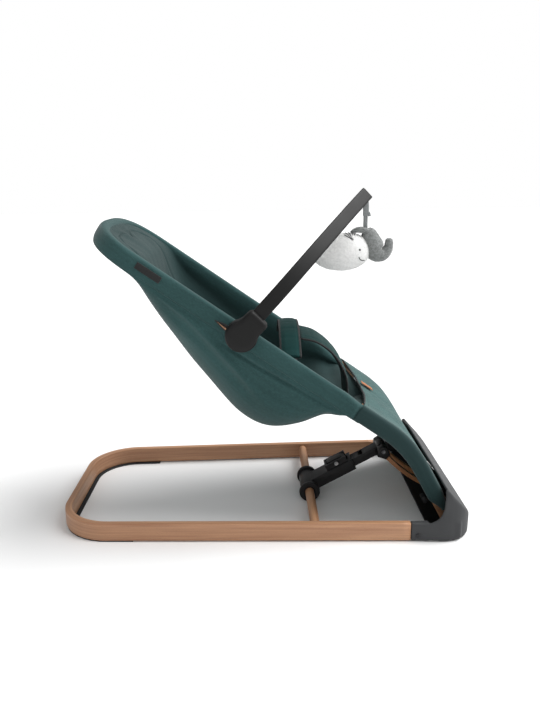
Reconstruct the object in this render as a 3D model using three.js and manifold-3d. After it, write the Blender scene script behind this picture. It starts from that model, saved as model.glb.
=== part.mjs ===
// Baby bouncer seat with a bent-wood floor frame, a fabric sling, a recline strut and a toy arm.
// Millimetres. +X towards the baby's feet, +Y towards the baby's left, +Z up, floor at Z = 0.
import * as THREE from 'three';
import { mergeVertices } from 'three/addons/utils/BufferGeometryUtils.js';
import Module from 'manifold-3d';

const wasm = await Module();
wasm.setup();

// ---- driving dimensions -------------------------------------------------------------------
const GAP = 0.3; // clearance between pieces that touch
const FRAME_HALF = 390; // half of the floor frame's length
const JOINT_X = 262; // where the wooden bow meets the front housing
const REAR_HALF = 190; // half width of the bow at its rear corners
const JOINT_HALF = 210; // half width of the bow at the front housing
const CORNER_R = 100; // outer radius of the bow's rear corners
const RAIL_H = 34; // height of the floor rails
const RAIL_T = 14; // thickness of the floor rails
const FOOT_H = 2; // rubber height under the frame
const RAIL_TOP = FOOT_H + RAIL_H;
const TONGUE_L = 26; // wooden tongue inside the front housing
const TONGUE_INSET = 2.5; // wall of the housing around the tongue

const HOUSING_HALF = 215; // half width of the front housing
const HOUSING_TOP = 113; // height of its upper lip
const WALL = 4.5; // housing wall

const DOWEL_X = 90.5;
const DOWEL_Z = 22.5;
const DOWEL_R = 9;

const PIVOT_X = 341; // recline shaft
const PIVOT_Z = 24;
const SHAFT_R = 5;

const SLOPE = Math.atan(0.7); // seat frame against the floor
const SEAT_X = -54.5; // a point on the seat frame's centre plane
const SEAT_Z = 391.5;
const COVER_HALF = 175; // half width over the fabric
const COVER_T = 33; // height of the fabric-covered frame
const BOW_H = 27; // wooden seat frame inside the fabric
const BOW_T = 12;
const SKIN = 3.2; // fabric and its clearance at the frame's sides
const HEAD_S = -190; // where the head curve starts, along the seat frame
const HEAD_REACH = 107; // how far the head curve goes beyond it
const HEAD_POWER = 2.8; // squareness of the head curve
const POCKET_S = -186; // lower edge of the head pocket
const PANEL_S = 270; // upper edge of the leg panel
const BEND_S = 333; // where the legs start to bend down
const LEG_SLOPE = THREE.MathUtils.degToRad(62);
const LEG_Y = 153.2; // middle of a leg lath

const STRUT_X = 241; // pin at the upper end of the strut
const STRUT_Z = 103;
const STRUT_ANGLE = Math.atan2(STRUT_Z - DOWEL_Z, STRUT_X - DOWEL_X);
const STRUT_L = Math.hypot(STRUT_Z - DOWEL_Z, STRUT_X - DOWEL_X);
const SLEEVE_END = 105; // end of the strut sleeve, from the dowel
const SLIDER = { half: 14, up: 8 }; // half width and half height of the sliding bar
const NOTCH_PITCH = 18.3;
const LATCH_AT = 88; // latch tooth, from the dowel

const HUB_X = -34.5; // toy arm hub on the right rail
const HUB_Z = 381.5;
const ARM_ANGLE = Math.atan2(231, 237);
const ARM_W = 25;
const ARM_T = 8;
const ARM_Y = -194;

// ---- finishes -----------------------------------------------------------------------------
const finish = (color, roughness, metalness = 0) =>
  new THREE.MeshStandardMaterial({ color, roughness, metalness });
const wood = () => finish(0xa97e63, 0.5);
const housingPlastic = () => finish(0x4a4b4c, 0.62);
const blackPlastic = () => finish(0x232323, 0.5);
const rubber = () => finish(0x2b2b2d, 0.85);
const steel = () => finish(0xb8b9ba, 0.3, 1);
const cloth = () => finish(0x2f4b4c, 0.95);
const paleCloth = () => finish(0x648584, 0.95);
const whitePlush = () => finish(0xe6e6e4, 0.95);
const greyPlush = () => finish(0x969897, 0.95);
const leather = () => finish(0xa5673f, 0.6);

// ---- helpers ------------------------------------------------------------------------------
const bouncer = new THREE.Group();

function add(name, geometry, material) {
  const mesh = new THREE.Mesh(geometry, material);
  mesh.name = name;
  bouncer.add(mesh);
  return mesh;
}

function toManifold(geometry) {
  const bare = geometry.clone();
  bare.deleteAttribute('normal');
  bare.deleteAttribute('uv');
  const merged = mergeVertices(bare, 1e-4);
  return new wasm.Manifold(new wasm.Mesh({
    numProp: 3,
    vertProperties: new Float32Array(merged.attributes.position.array),
    triVerts: new Uint32Array(merged.index.array),
  }));
}

function fromManifold(manifold) {
  const mesh = manifold.getMesh();
  const geometry = new THREE.BufferGeometry();
  geometry.setAttribute('position', new THREE.BufferAttribute(new Float32Array(mesh.vertProperties), 3));
  geometry.setIndex(new THREE.BufferAttribute(new Uint32Array(mesh.triVerts), 1));
  geometry.computeVertexNormals();
  return geometry;
}

function combine(base, { join = [], cut = [], keep = [] }) {
  let result = toManifold(base);
  for (const piece of join) result = result.add(toManifold(piece));
  for (const piece of keep) result = result.intersect(toManifold(piece));
  for (const piece of cut) result = result.subtract(toManifold(piece));
  return fromManifold(result);
}

const mirrorY = (points) => points.map((p) => new THREE.Vector2(p.x, -p.y)).reverse();
const shapeOf = (points) => new THREE.Shape(points.map((p) => (p.isVector2 ? p : new THREE.Vector2(...p))));

// An outline in X and Y, raised from z0 to z1.
function raise(shape, z0, z1, bevel = 0) {
  const geometry = new THREE.ExtrudeGeometry(shape, {
    depth: z1 - z0 - 2 * bevel,
    bevelEnabled: bevel > 0,
    bevelThickness: bevel,
    bevelSize: bevel,
    bevelOffset: -bevel,
    bevelSegments: 2,
    curveSegments: 8,
  });
  return geometry.translate(0, 0, z0 + bevel);
}

// An outline in X and Z, spread from y0 to y1.
function spread(shape, y0, y1, bevel = 0) {
  return raise(shape, -y1, -y0, bevel).rotateX(Math.PI / 2);
}

const box = (x0, x1, y0, y1, z0, z1) =>
  new THREE.BoxGeometry(x1 - x0, y1 - y0, z1 - z0).translate((x0 + x1) / 2, (y0 + y1) / 2, (z0 + z1) / 2);

const rodY = (radius, y0, y1, x, z, sides = 20) =>
  new THREE.CylinderGeometry(radius, radius, y1 - y0, sides).translate(x, (y0 + y1) / 2, z);

// A turned piece on an axis along Y: profile rows are [radius, y], closed on themselves or on the axis.
function turnedY(profile, x, z, sides = 24) {
  const points = profile.map(([r, y]) => new THREE.Vector2(r, y));
  if (THREE.ShapeUtils.area(points) < 0) points.reverse();
  return new THREE.LatheGeometry(points, sides).translate(x, 0, z);
}

// A ring on an axis along Y.
const ringY = (inner, outer, y0, y1, x, z, sides = 24) =>
  turnedY([[inner, y0], [outer, y0], [outer, y1], [inner, y1], [inner, y0]], x, z, sides);

// A strip of constant width along a path in a plane, moved across it by an offset.
function strip(path, half, offset = 0) {
  const left = [];
  const right = [];
  path.forEach((p, i) => {
    const before = path[Math.max(i - 1, 0)];
    const after = path[Math.min(i + 1, path.length - 1)];
    const along = new THREE.Vector2().subVectors(after, before).normalize();
    const across = new THREE.Vector2(-along.y, along.x);
    left.push(new THREE.Vector2().copy(p).addScaledVector(across, offset + half));
    right.push(new THREE.Vector2().copy(p).addScaledVector(across, offset - half));
  });
  return new THREE.Shape([...right, ...left.reverse()]);
}

// A closed skin through equal closed sections, with flat ends.
function loft(sections) {
  const count = sections[0].length;
  const position = sections.flat().flatMap((p) => [p.x, p.y, p.z]);
  const index = [];
  for (let i = 0; i + 1 < sections.length; i += 1) {
    for (let j = 0; j < count; j += 1) {
      const k = (j + 1) % count;
      const a = i * count + j;
      const b = i * count + k;
      index.push(a, b, b + count, a, b + count, a + count);
    }
  }
  const endFaces = (section, offset, flip) => {
    const normal = sectionNormal(section);
    const side = Math.abs(normal.y) > 0.9 ? new THREE.Vector3(1, 0, 0) : new THREE.Vector3(0, 1, 0);
    const up = new THREE.Vector3().crossVectors(normal, side).normalize();
    side.crossVectors(up, normal).normalize();
    const flat = section.map((p) => new THREE.Vector2(p.dot(side), p.dot(up)));
    for (const [a, b, c] of THREE.ShapeUtils.triangulateShape(flat, [])) {
      const turn = new THREE.Vector3().crossVectors(
        new THREE.Vector3().subVectors(section[b], section[a]),
        new THREE.Vector3().subVectors(section[c], section[a]),
      ).dot(normal) > 0;
      if (turn === flip) index.push(offset + a, offset + c, offset + b);
      else index.push(offset + a, offset + b, offset + c);
    }
  };
  endFaces(sections[0], 0, true);
  endFaces(sections.at(-1), (sections.length - 1) * count, false);
  const geometry = new THREE.BufferGeometry();
  geometry.setAttribute('position', new THREE.Float32BufferAttribute(position, 3));
  geometry.setIndex(index);
  const volume = signedVolume(geometry);
  if (volume < 0) for (let i = 0; i < index.length; i += 3) [index[i], index[i + 1]] = [index[i + 1], index[i]];
  geometry.setIndex(index);
  geometry.computeVertexNormals();
  return geometry;
}

// Newell's normal of a closed section, so that both ends of a loft are read the same way.
function sectionNormal(section) {
  const normal = new THREE.Vector3();
  section.forEach((p, i) => {
    const q = section[(i + 1) % section.length];
    normal.x += (p.y - q.y) * (p.z + q.z);
    normal.y += (p.z - q.z) * (p.x + q.x);
    normal.z += (p.x - q.x) * (p.y + q.y);
  });
  return normal.normalize();
}

function signedVolume(geometry) {
  const at = geometry.attributes.position;
  const index = geometry.index.array;
  const corner = [0, 1, 2].map(() => new THREE.Vector3());
  let sum = 0;
  for (let i = 0; i < index.length; i += 3) {
    corner.forEach((v, k) => v.fromBufferAttribute(at, index[i + k]));
    sum += corner[0].dot(new THREE.Vector3().crossVectors(corner[1], corner[2]));
  }
  return sum;
}

// Seat frame coordinates: s along the slope towards the feet, y across, h square to the frame.
const seatMatrix = new THREE.Matrix4().makeBasis(
  new THREE.Vector3(Math.cos(SLOPE), 0, -Math.sin(SLOPE)),
  new THREE.Vector3(0, 1, 0),
  new THREE.Vector3(Math.sin(SLOPE), 0, Math.cos(SLOPE)),
).setPosition(SEAT_X, 0, SEAT_Z);
const onSeat = (geometry) => geometry.applyMatrix4(seatMatrix);
const seatPoint = (s, y, h) => new THREE.Vector3(s, y, h).applyMatrix4(seatMatrix);

// ---- floor frame --------------------------------------------------------------------------
// Outline of the bow in plan, pulled in from its outer face, from one end round the rear to the other.
function bowOutline(inset, fromX, steps = 9) {
  const radius = CORNER_R - inset;
  const centreX = -FRAME_HALF + CORNER_R;
  const centreY = REAR_HALF - CORNER_R;
  const slope = (JOINT_HALF - REAR_HALF) / (JOINT_X - centreX);
  const side = [new THREE.Vector2(fromX, REAR_HALF - inset + slope * (fromX - centreX))];
  for (let i = 0; i <= steps; i += 1) {
    const angle = Math.PI / 2 + (Math.PI / 2) * (i / steps);
    side.push(new THREE.Vector2(centreX + radius * Math.cos(angle), centreY + radius * Math.sin(angle)));
  }
  return [...side, ...mirrorY(side)];
}

function bowShape(outer, inner, outerX, innerX = outerX) {
  return shapeOf([...bowOutline(outer, outerX), ...bowOutline(inner, innerX).reverse()]);
}

function buildFloorFrame() {
  const bow = raise(bowShape(0, RAIL_T, JOINT_X - GAP), FOOT_H, RAIL_TOP, 1.5);
  const tongueX = JOINT_X + TONGUE_L;
  const tongues = [1, -1].map((side) => box(
    JOINT_X - 5, tongueX,
    side > 0 ? JOINT_HALF - RAIL_T + TONGUE_INSET : -JOINT_HALF + TONGUE_INSET,
    side > 0 ? JOINT_HALF - TONGUE_INSET : -JOINT_HALF + RAIL_T - TONGUE_INSET,
    FOOT_H + TONGUE_INSET, RAIL_TOP - TONGUE_INSET,
  ));
  const inner = innerFace(DOWEL_X);
  const sockets = [1, -1].map((side) => rodY(5.3, ...spanY(side, inner - 6, inner + 8.3), DOWEL_X, DOWEL_Z, 16));
  const pilots = [1, -1].map((side) => rodY(2.3, ...spanY(side, 190, 216), SCREW_X, SCREW_Z, 10));
  add('base_bow', combine(bow, { join: tongues, cut: [...sockets, ...pilots] }), wood());

  const spigot = inner + 8;
  const shoulder = inner - 2.5 * GAP; // the rail runs at a slight angle
  add('cross_dowel', turnedY([
    [0, -spigot], [5, -spigot], [5, -shoulder], [DOWEL_R, -shoulder],
    [DOWEL_R, shoulder], [5, shoulder], [5, spigot], [0, spigot],
  ], DOWEL_X, DOWEL_Z), wood());

  add('rear_grip_strip', raise(bowShape(1, 21, -245), 0, FOOT_H - GAP), rubber());
}

const innerFace = (x) => {
  const slope = (JOINT_HALF - REAR_HALF) / (JOINT_X + FRAME_HALF - CORNER_R);
  return REAR_HALF - RAIL_T + slope * (x + FRAME_HALF - CORNER_R);
};
const spanY = (side, a, b) => (side > 0 ? [a, b] : [-b, -a]);
const SCREW_X = 275;
const SCREW_Z = 12;

// ---- front housing ------------------------------------------------------------------------
// Half outline of the housing in plan, from the joint to the nose.
function housingPlan(inset, startX) {
  const half = HOUSING_HALF - inset;
  const corner = new THREE.CubicBezierCurve(
    new THREE.Vector2(322, half), new THREE.Vector2(362, half),
    new THREE.Vector2(FRAME_HALF - 10 - inset, 186), new THREE.Vector2(FRAME_HALF - 4 - inset, 130 - inset),
  ).getPoints(10);
  const side = [
    new THREE.Vector2(startX, JOINT_HALF - inset), ...corner,
    new THREE.Vector2(FRAME_HALF - inset, 60),
  ];
  return shapeOf([...side, ...mirrorY(side)]);
}

// Side view of the housing: low arm, concave rise, lip, sloping face and nose.
function housingSide() {
  const shape = new THREE.Shape();
  shape.moveTo(JOINT_X, FOOT_H);
  shape.lineTo(FRAME_HALF - 2, FOOT_H);
  shape.lineTo(FRAME_HALF, 6);
  shape.lineTo(386, 22);
  shape.quadraticCurveTo(380, 37, 368, 51);
  shape.lineTo(326, 104);
  shape.quadraticCurveTo(320, HOUSING_TOP, 317, 105);
  shape.lineTo(318, 70);
  shape.quadraticCurveTo(317, RAIL_TOP, 284, RAIL_TOP);
  shape.lineTo(JOINT_X, RAIL_TOP);
  return shape;
}

function housingRoom() {
  return shapeOf([
    [296, -5], [FRAME_HALF - WALL, -5], [381.5, 20], [375, 34], [364, 48],
    [321, 102], [314, 130], [280, 130], [280, RAIL_TOP + 6], [296, RAIL_TOP + 6],
  ]);
}

function buildHousing() {
  const outer = combine(raise(housingPlan(0, JOINT_X), 0, 130), {
    keep: [spread(housingSide(), -HOUSING_HALF - 1, HOUSING_HALF + 1)],
  });
  const room = combine(raise(housingPlan(WALL, 200), -6, 131), {
    keep: [spread(housingRoom(), -HOUSING_HALF, HOUSING_HALF)],
  });
  const between = box(240, 300, -JOINT_HALF + RAIL_T, JOINT_HALF - RAIL_T, -5, 140);
  const cradles = [1, -1].map((side) => box(328, 354, ...spanY(side, 181, HOUSING_HALF - 3), 6, 36));
  const pockets = [1, -1].map((side) => box(
    JOINT_X - 5, JOINT_X + TONGUE_L + GAP,
    side > 0 ? JOINT_HALF - RAIL_T + TONGUE_INSET - GAP : -JOINT_HALF + TONGUE_INSET - GAP,
    side > 0 ? JOINT_HALF - TONGUE_INSET + GAP : -JOINT_HALF + RAIL_T - TONGUE_INSET + GAP,
    FOOT_H + TONGUE_INSET - GAP, RAIL_TOP - TONGUE_INSET + GAP,
  ));
  const shell = combine(outer, { cut: [room, between] });
  const screwHoles = [1, -1].flatMap((side) => [
    rodY(2.3, ...spanY(side, 190, 216), SCREW_X, SCREW_Z, 10),
    rodY(4.4, ...spanY(side, 208.4, 220), SCREW_X, SCREW_Z, 14),
  ]);
  const shaftHoles = rodY(SHAFT_R + GAP, -196, 196, PIVOT_X, PIVOT_Z);
  add('front_housing', combine(shell, { join: cradles, cut: [...pockets, ...screwHoles, shaftHoles] }),
    housingPlastic());

  const floorPlate = combine(raise(housingPlan(WALL + 3, 200), FOOT_H, 5.6), {
    cut: [box(200, 305, -220, 220, -1, 9)],
  });
  add('housing_floor', floorPlate, blackPlastic());
  for (const [name, side] of [['left', 1], ['right', -1]]) {
    add(`front_foot_${name}`, raise(footShape(side), 0, FOOT_H - GAP), rubber());
    add(`rail_screw_${name}`, turnedY([
      [0, side * 198.2], [2, side * 198.2], [2, side * 208.8], [4, side * 208.8], [4, side * 210.6],
      [0, side * 210.6],
    ], SCREW_X, SCREW_Z, 14), steel());
    add(`shaft_ring_${name}`, ringY(SHAFT_R + 0.1, 8, ...spanY(side, 176.5, 179), PIVOT_X, PIVOT_Z), steel());
  }
  add('pivot_shaft', rodY(SHAFT_R, -195.5, 195.5, PIVOT_X, PIVOT_Z), steel());
}

function footShape(side) {
  const foot = new THREE.Shape();
  const y = side * 196;
  foot.absarc(312, y, 9, Math.PI / 2, (3 * Math.PI) / 2);
  foot.absarc(350, y - side * 6, 9, -Math.PI / 2, Math.PI / 2);
  return foot;
}

// ---- seat frame ---------------------------------------------------------------------------
// Head curve and sides of the seat frame in its own plane, pulled in from the fabric's outer edge.
function seatOutline(inset, endS, steps = 20) {
  const half = COVER_HALF - inset;
  const reach = HEAD_REACH - inset;
  const points = [new THREE.Vector2(endS, half)];
  for (let i = 0; i <= steps; i += 1) {
    const angle = (Math.PI * i) / steps;
    const across = Math.sign(Math.cos(angle)) * Math.abs(Math.cos(angle)) ** (2 / HEAD_POWER);
    const along = Math.sin(angle) ** (2 / HEAD_POWER);
    points.push(new THREE.Vector2(HEAD_S - reach * along, half * across));
  }
  points.push(new THREE.Vector2(endS, -half));
  return points;
}

// Middle line of a leg in side view, from the seat frame round the bend and down to the shaft.
function legPath(startS, endX = PIVOT_X) {
  const onLine = (s) => new THREE.Vector2(SEAT_X + s * Math.cos(SLOPE), SEAT_Z - s * Math.sin(SLOPE));
  const down = new THREE.Vector2(Math.cos(LEG_SLOPE), -Math.sin(LEG_SLOPE));
  const end = new THREE.Vector2(PIVOT_X, PIVOT_Z).addScaledVector(down, (endX - PIVOT_X) / down.x);
  const bendStart = onLine(BEND_S);
  const corner = cornerOf(onLine(0), SLOPE, end, LEG_SLOPE);
  const bendEnd = new THREE.Vector2().copy(corner).addScaledVector(down, corner.distanceTo(bendStart));
  const bend = new THREE.QuadraticBezierCurve(bendStart, corner, bendEnd).getPoints(7);
  return [onLine(startS), ...bend, end];
}

// Where two lines that fall at the given slopes meet.
function cornerOf(a, slopeA, b, slopeB) {
  const ta = Math.tan(slopeA);
  const tb = Math.tan(slopeB);
  const x = (b.y - a.y + tb * b.x - ta * a.x) / (tb - ta);
  return new THREE.Vector2(x, a.y - ta * (x - a.x));
}

function buildSeatFrame() {
  const outer = seatOutline(SKIN + GAP, BEND_S - 2);
  const inner = seatOutline(SKIN + GAP + BOW_T, BEND_S - 2);
  const bow = onSeat(raise(shapeOf([...outer, ...inner.reverse()]), -BOW_H / 2, BOW_H / 2, 1.2));
  const boltS = [BEND_S - 46, BEND_S - 12];
  const boltHoles = boltS.flatMap((s) => [1, -1].map((side) => {
    const at = seatPoint(s, 0, 0);
    return rodY(3.3, ...spanY(side, 140, 175), at.x, at.z, 12);
  }));
  const studHole = rodY(5.4, -174, -150, HUB_X, HUB_Z, 16);
  add('seat_bow', combine(bow, { cut: [...boltHoles, studHole] }), wood());

  const lath = strip(legPath(PANEL_S + 4), BOW_H / 2);
  for (const [name, side] of [['left', 1], ['right', -1]]) {
    const span = spanY(side, LEG_Y - BOW_T / 2, LEG_Y + BOW_T / 2);
    const foot = rodY(BOW_H / 2, ...span, PIVOT_X, PIVOT_Z, 24);
    const holes = [rodY(8 + GAP, ...spanY(side, 140, 170), PIVOT_X, PIVOT_Z), ...boltHoles];
    add(`leg_lath_${name}`, combine(spread(lath, ...span), { join: [foot], cut: holes }), wood());
    add(`leg_bush_${name}`, turnedY([
      [SHAFT_R + 0.1, side * 145.5], [11, side * 145.5], [11, side * 146.9], [8, side * 146.9],
      [8, side * 160.8], [SHAFT_R + 0.1, side * 160.8], [SHAFT_R + 0.1, side * 145.5],
    ], PIVOT_X, PIVOT_Z), blackPlastic());
    boltS.forEach((s, i) => {
      const at = seatPoint(s, 0, 0);
      add(`frame_bolt_${name}_${i + 1}`, turnedY([
        [0, side * 145.1], [6, side * 145.1], [6, side * 146.9], [3, side * 146.9],
        [3, side * 171], [0, side * 171],
      ], at.x, at.z, 12), steel());
    });
  }
}

// ---- fabric cover, plain soft solids --------------------------------------------------------
function buildCover() {
  const outline = seatOutline(0, POCKET_S);
  const channel = [
    ...seatOutline(SKIN, POCKET_S + 20), ...seatOutline(SKIN + BOW_T + 2 * GAP, POCKET_S + 20).reverse(),
  ];
  const pocket = combine(onSeat(raise(shapeOf(outline), -COVER_T / 2, COVER_T / 2)), {
    cut: [onSeat(raise(shapeOf(channel), -BOW_H / 2 - GAP, BOW_H / 2 + GAP))],
  });
  add('head_pocket', pocket, cloth());

  for (const [name, side] of [['left', 1], ['right', -1]]) {
    const sleeve = onSeat(box(POCKET_S + 0.5, PANEL_S - 0.5, ...spanY(side, 156, COVER_HALF), -COVER_T / 2, COVER_T / 2));
    const bore = onSeat(box(POCKET_S - 5, PANEL_S + 5, ...spanY(side, 159.2, 171.8), -BOW_H / 2 - GAP, BOW_H / 2 + GAP));
    const studHole = rodY(5.4, -180, -165, HUB_X, HUB_Z, 16);
    add(`rail_sleeve_${name}`, combine(sleeve, { cut: side > 0 ? [bore] : [bore, studHole] }), cloth());
  }

  const panelEnd = 331;
  const panelOuter = spread(strip(legPath(PANEL_S, panelEnd), COVER_T / 2), -COVER_HALF, COVER_HALF);
  const panelRoom = spread(strip(legPath(PANEL_S - 20, panelEnd + 12), BOW_H / 2 + GAP), -171.8, 171.8);
  const underside = spread(strip(legPath(PANEL_S - 20, panelEnd + 12), 8, -COVER_T / 2), -138, 138);
  const hemNotch = box(290, 360, -37, 37, 20, 60);
  add('leg_panel', combine(panelOuter, { cut: [panelRoom, underside, hemNotch] }), paleCloth());
  add('sling', slingGeometry(), cloth());
}

// Depth of the sling below the seat frame's centre plane, along the frame.
const slingDepth = new THREE.SplineCurve([
  [-183, 30], [-140, 60], [-60, 98], [33, 132], [110, 154], [170, 147], [223, 111], [262, 58], [296, 30],
].map(([s, depth]) => new THREE.Vector2(s, depth)));

const SLING_TOP = COVER_T / 2 + 0.6; // top edge of the sling, below the centre plane
const SLING_HALF = 171;
const SLING_WALL = 6;
const SLING_POWER = 2.3;

function slingGeometry() {
  const stations = 22;
  const around = 16;
  const arc = (s, half, depth, reverse) => Array.from({ length: around + 1 }, (_, j) => {
    const angle = (Math.PI * (reverse ? around - j : j)) / around;
    const across = Math.sign(Math.cos(angle)) * Math.abs(Math.cos(angle)) ** (2 / SLING_POWER);
    const down = Math.abs(Math.sin(angle)) ** (2 / SLING_POWER);
    return seatPoint(s, half * across, -SLING_TOP - (depth - SLING_TOP) * down);
  });
  return loft(Array.from({ length: stations + 1 }, (_, i) => {
    const { x: s, y: depth } = slingDepth.getPoint(i / stations);
    return [...arc(s, SLING_HALF, depth, false), ...arc(s, SLING_HALF - SLING_WALL, depth - SLING_WALL, true)];
  }));
}

// ---- restraint ----------------------------------------------------------------------------
// Closed rectangle around a point, across Y and along a second direction.
const rectAt = (centre, half, across, thick, normal) => [[1, 1], [-1, 1], [-1, -1], [1, -1]].map(([a, b]) =>
  new THREE.Vector3().copy(centre).addScaledVector(across, a * half).addScaledVector(normal, (b * thick) / 2));

function buildRestraint() {
  const Y = new THREE.Vector3(0, 1, 0);
  const spine = new THREE.CatmullRomCurve3([
    new THREE.Vector3(165, 0, 228), new THREE.Vector3(160, 0, 268), new THREE.Vector3(138, 0, 310),
    new THREE.Vector3(105, 0, 338), new THREE.Vector3(72, 0, 348),
  ]);
  const pad = Array.from({ length: 13 }, (_, i) => {
    const t = i / 12;
    const normal = new THREE.Vector3().crossVectors(spine.getTangentAt(t), Y).normalize();
    return rectAt(spine.getPointAt(t), 42 + 20 * t, Y, 9, normal);
  });
  add('crotch_pad', loft(pad), cloth());

  const X = new THREE.Vector3(1, 0, 0);
  const arch = new THREE.CatmullRomCurve3([-118, -80, 0, 80, 118].map((y) =>
    new THREE.Vector3(50, y, 368 - 42 * (Math.abs(y) / 118) ** 2.2)));
  const belt = Array.from({ length: 17 }, (_, i) => {
    const normal = new THREE.Vector3().crossVectors(arch.getTangentAt(i / 16), X).normalize();
    return rectAt(arch.getPointAt(i / 16), 19, X, 8, normal);
  });
  add('waist_belt', loft(belt), cloth());

  for (const [name, side] of [['left', 1], ['right', -1]]) {
    const slant = new THREE.Vector3(0, side * 34, -27).normalize();
    const root = new THREE.Vector3(48, side * 121.5, 322.5);
    const lay = (from, to, half, thick) => {
      const normal = new THREE.Vector3().crossVectors(slant, X).normalize();
      const at = (d) => new THREE.Vector3().copy(root).addScaledVector(slant, d);
      return loft([from, to].map((d) => rectAt(at(d), half, X, thick, normal)));
    };
    add(`belt_buckle_${name}`, lay(0, 17, 13, 9), blackPlastic());
    add(`belt_web_${name}`, lay(17.5, 31, 10, 2), blackPlastic());
  }
}

// ---- spring slats -------------------------------------------------------------------------
const slatPath = (grow = 0) => {
  const curve = new THREE.QuadraticBezierCurve(
    new THREE.Vector2(241 - grow, 99 + grow), new THREE.Vector2(285, 50), new THREE.Vector2(332.5 + grow, 27),
  );
  return curve.getPoints(10);
};

function buildSlats() {
  const slat = strip(slatPath(), 4);
  const room = strip(slatPath(GAP), 4 + GAP);
  const spans = [1, -1].map((side) => [...spanY(side, 16, 31)]);
  const rooms = spans.map(([a, b]) => spread(room, a - GAP, b + GAP));
  ['left', 'right'].forEach((name, i) => {
    const [a, b] = spans[i];
    const side = i === 0 ? 1 : -1;
    const pinHole = rodY(4.2, -40, 40, STRUT_X, STRUT_Z, 16);
    const cheek = spread(shapeOf([[230, 92], [247, 86], [256, 96], [249, 111], [240, 114], [231, 108]]),
      ...spanY(side, 14.6, 33.5), 1.2);
    add(`spring_slat_${name}`, combine(spread(slat, a, b), { cut: [pinHole] }), wood());
    add(`slat_head_${name}`, combine(cheek, { cut: [rooms[i], pinHole] }), blackPlastic());
  });
  const barrel = ringY(SHAFT_R + 0.3, 13.5, -34, 34, PIVOT_X, PIVOT_Z, 28);
  add('slat_foot', combine(barrel, { cut: rooms }), blackPlastic());
  add('strut_pin', rodY(4, -35, 35, STRUT_X, STRUT_Z, 16), steel());
}

// ---- recline strut ------------------------------------------------------------------------
// Strut coordinates: x from the dowel to the strut pin, z square to it.
const strutMatrix = new THREE.Matrix4().makeRotationY(-STRUT_ANGLE).setPosition(DOWEL_X, 0, DOWEL_Z);
const onStrut = (geometry) => geometry.applyMatrix4(strutMatrix);

function buildStrut() {
  const sleeve = combine(box(8, SLEEVE_END, -21, 21, -11.5, 11.5), {
    join: [rodY(17, -36, 36, 0, 0, 28), box(50, 97, -17, 17, 8, 23)],
    cut: [
      box(22, SLEEVE_END + 5, -SLIDER.half - GAP, SLIDER.half + GAP, -SLIDER.up - GAP, SLIDER.up + GAP),
      rodY(DOWEL_R + GAP, -40, 40, 0, 0, 28),
      box(54, 100, -11, 11, 11.5, 30),
      box(84.5, 98, -9.3, 9.3, 7, 13),
      rodY(2.3, -30, 30, LEVER.x, LEVER.z, 12),
    ],
  });
  add('strut_sleeve', onStrut(sleeve), blackPlastic());
  for (const [name, side] of [['left', 1], ['right', -1]]) {
    add(`hub_flange_${name}`, onStrut(ringY(DOWEL_R + 0.4, 21, ...spanY(side, 36.4, 44), 0, 0, 32)), blackPlastic());
  }

  const notches = [0, 1, 2].map((i) => box(
    LATCH_AT - 3 + i * NOTCH_PITCH, LATCH_AT + 6 + i * NOTCH_PITCH, -9.5, 9.5, 3, SLIDER.up + 4,
  ));
  const slider = combine(box(62, STRUT_L, -SLIDER.half, SLIDER.half, -SLIDER.up, SLIDER.up), {
    join: [rodY(11, -SLIDER.half, SLIDER.half, STRUT_L, 0, 24)],
    cut: [...notches, rodY(7.6, -20, 20, STRUT_L, 0, 20)],
  });
  add('strut_slider', onStrut(slider), blackPlastic());

  const lever = shapeOf([
    [56, 18], [56, 24.5], [84, 24.5], [94, 21], [94, 12], [90.4, 12], [90.4, TOOTH_Z], [86, TOOTH_Z],
    [86, 12], [80, 14], [66, 14], [62, 18],
  ]);
  add('latch_lever', onStrut(combine(spread(lever, -8.5, 8.5), { cut: [rodY(2.4, -20, 20, LEVER.x, LEVER.z, 12)] })),
    blackPlastic());
  add('latch_pin', onStrut(turnedY([
    [0, -19.5], [4, -19.5], [4, -17.3], [2, -17.3], [2, 17.3], [4, 17.3], [4, 19.5], [0, 19.5],
  ], LEVER.x, LEVER.z, 16)), steel());
  add('latch_spring', onStrut(ringY(2.6, 4.4, 8.9, 10.7, LEVER.x, LEVER.z, 16)), steel());
}

const LEVER = { x: 74, z: 18 };
const TOOTH_Z = SLIDER.up + 0.8; // the tooth is drawn lifted just clear of the notches

// ---- toy arm and toys ---------------------------------------------------------------------
const armDirection = new THREE.Vector3(Math.cos(ARM_ANGLE), 0, Math.sin(ARM_ANGLE));
const armAcross = new THREE.Vector3(-Math.sin(ARM_ANGLE), 0, Math.cos(ARM_ANGLE));
const armRise = new THREE.CubicBezierCurve(
  new THREE.Vector2(31, ARM_Y), new THREE.Vector2(140, ARM_Y - 2),
  new THREE.Vector2(205, -130), new THREE.Vector2(331, 8),
);
const ARM_CAMBER = 9; // sideways bow of the arm's middle line

function armPoint(t) {
  const { x: along, y } = armRise.getPoint(t);
  return new THREE.Vector3(HUB_X, y, HUB_Z)
    .addScaledVector(armDirection, along)
    .addScaledVector(armAcross, ARM_CAMBER * Math.sin((Math.PI * along) / 340));
}

function armSection(t, grow = 0) {
  const step = 0.01;
  const along = armPoint(Math.min(t + step, 1)).sub(armPoint(t - step)).normalize();
  const outward = new THREE.Vector3().crossVectors(along, armAcross).normalize();
  return rectAt(armPoint(t), ARM_W / 2 + grow, armAcross, ARM_T + 2 * grow, outward);
}

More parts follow.
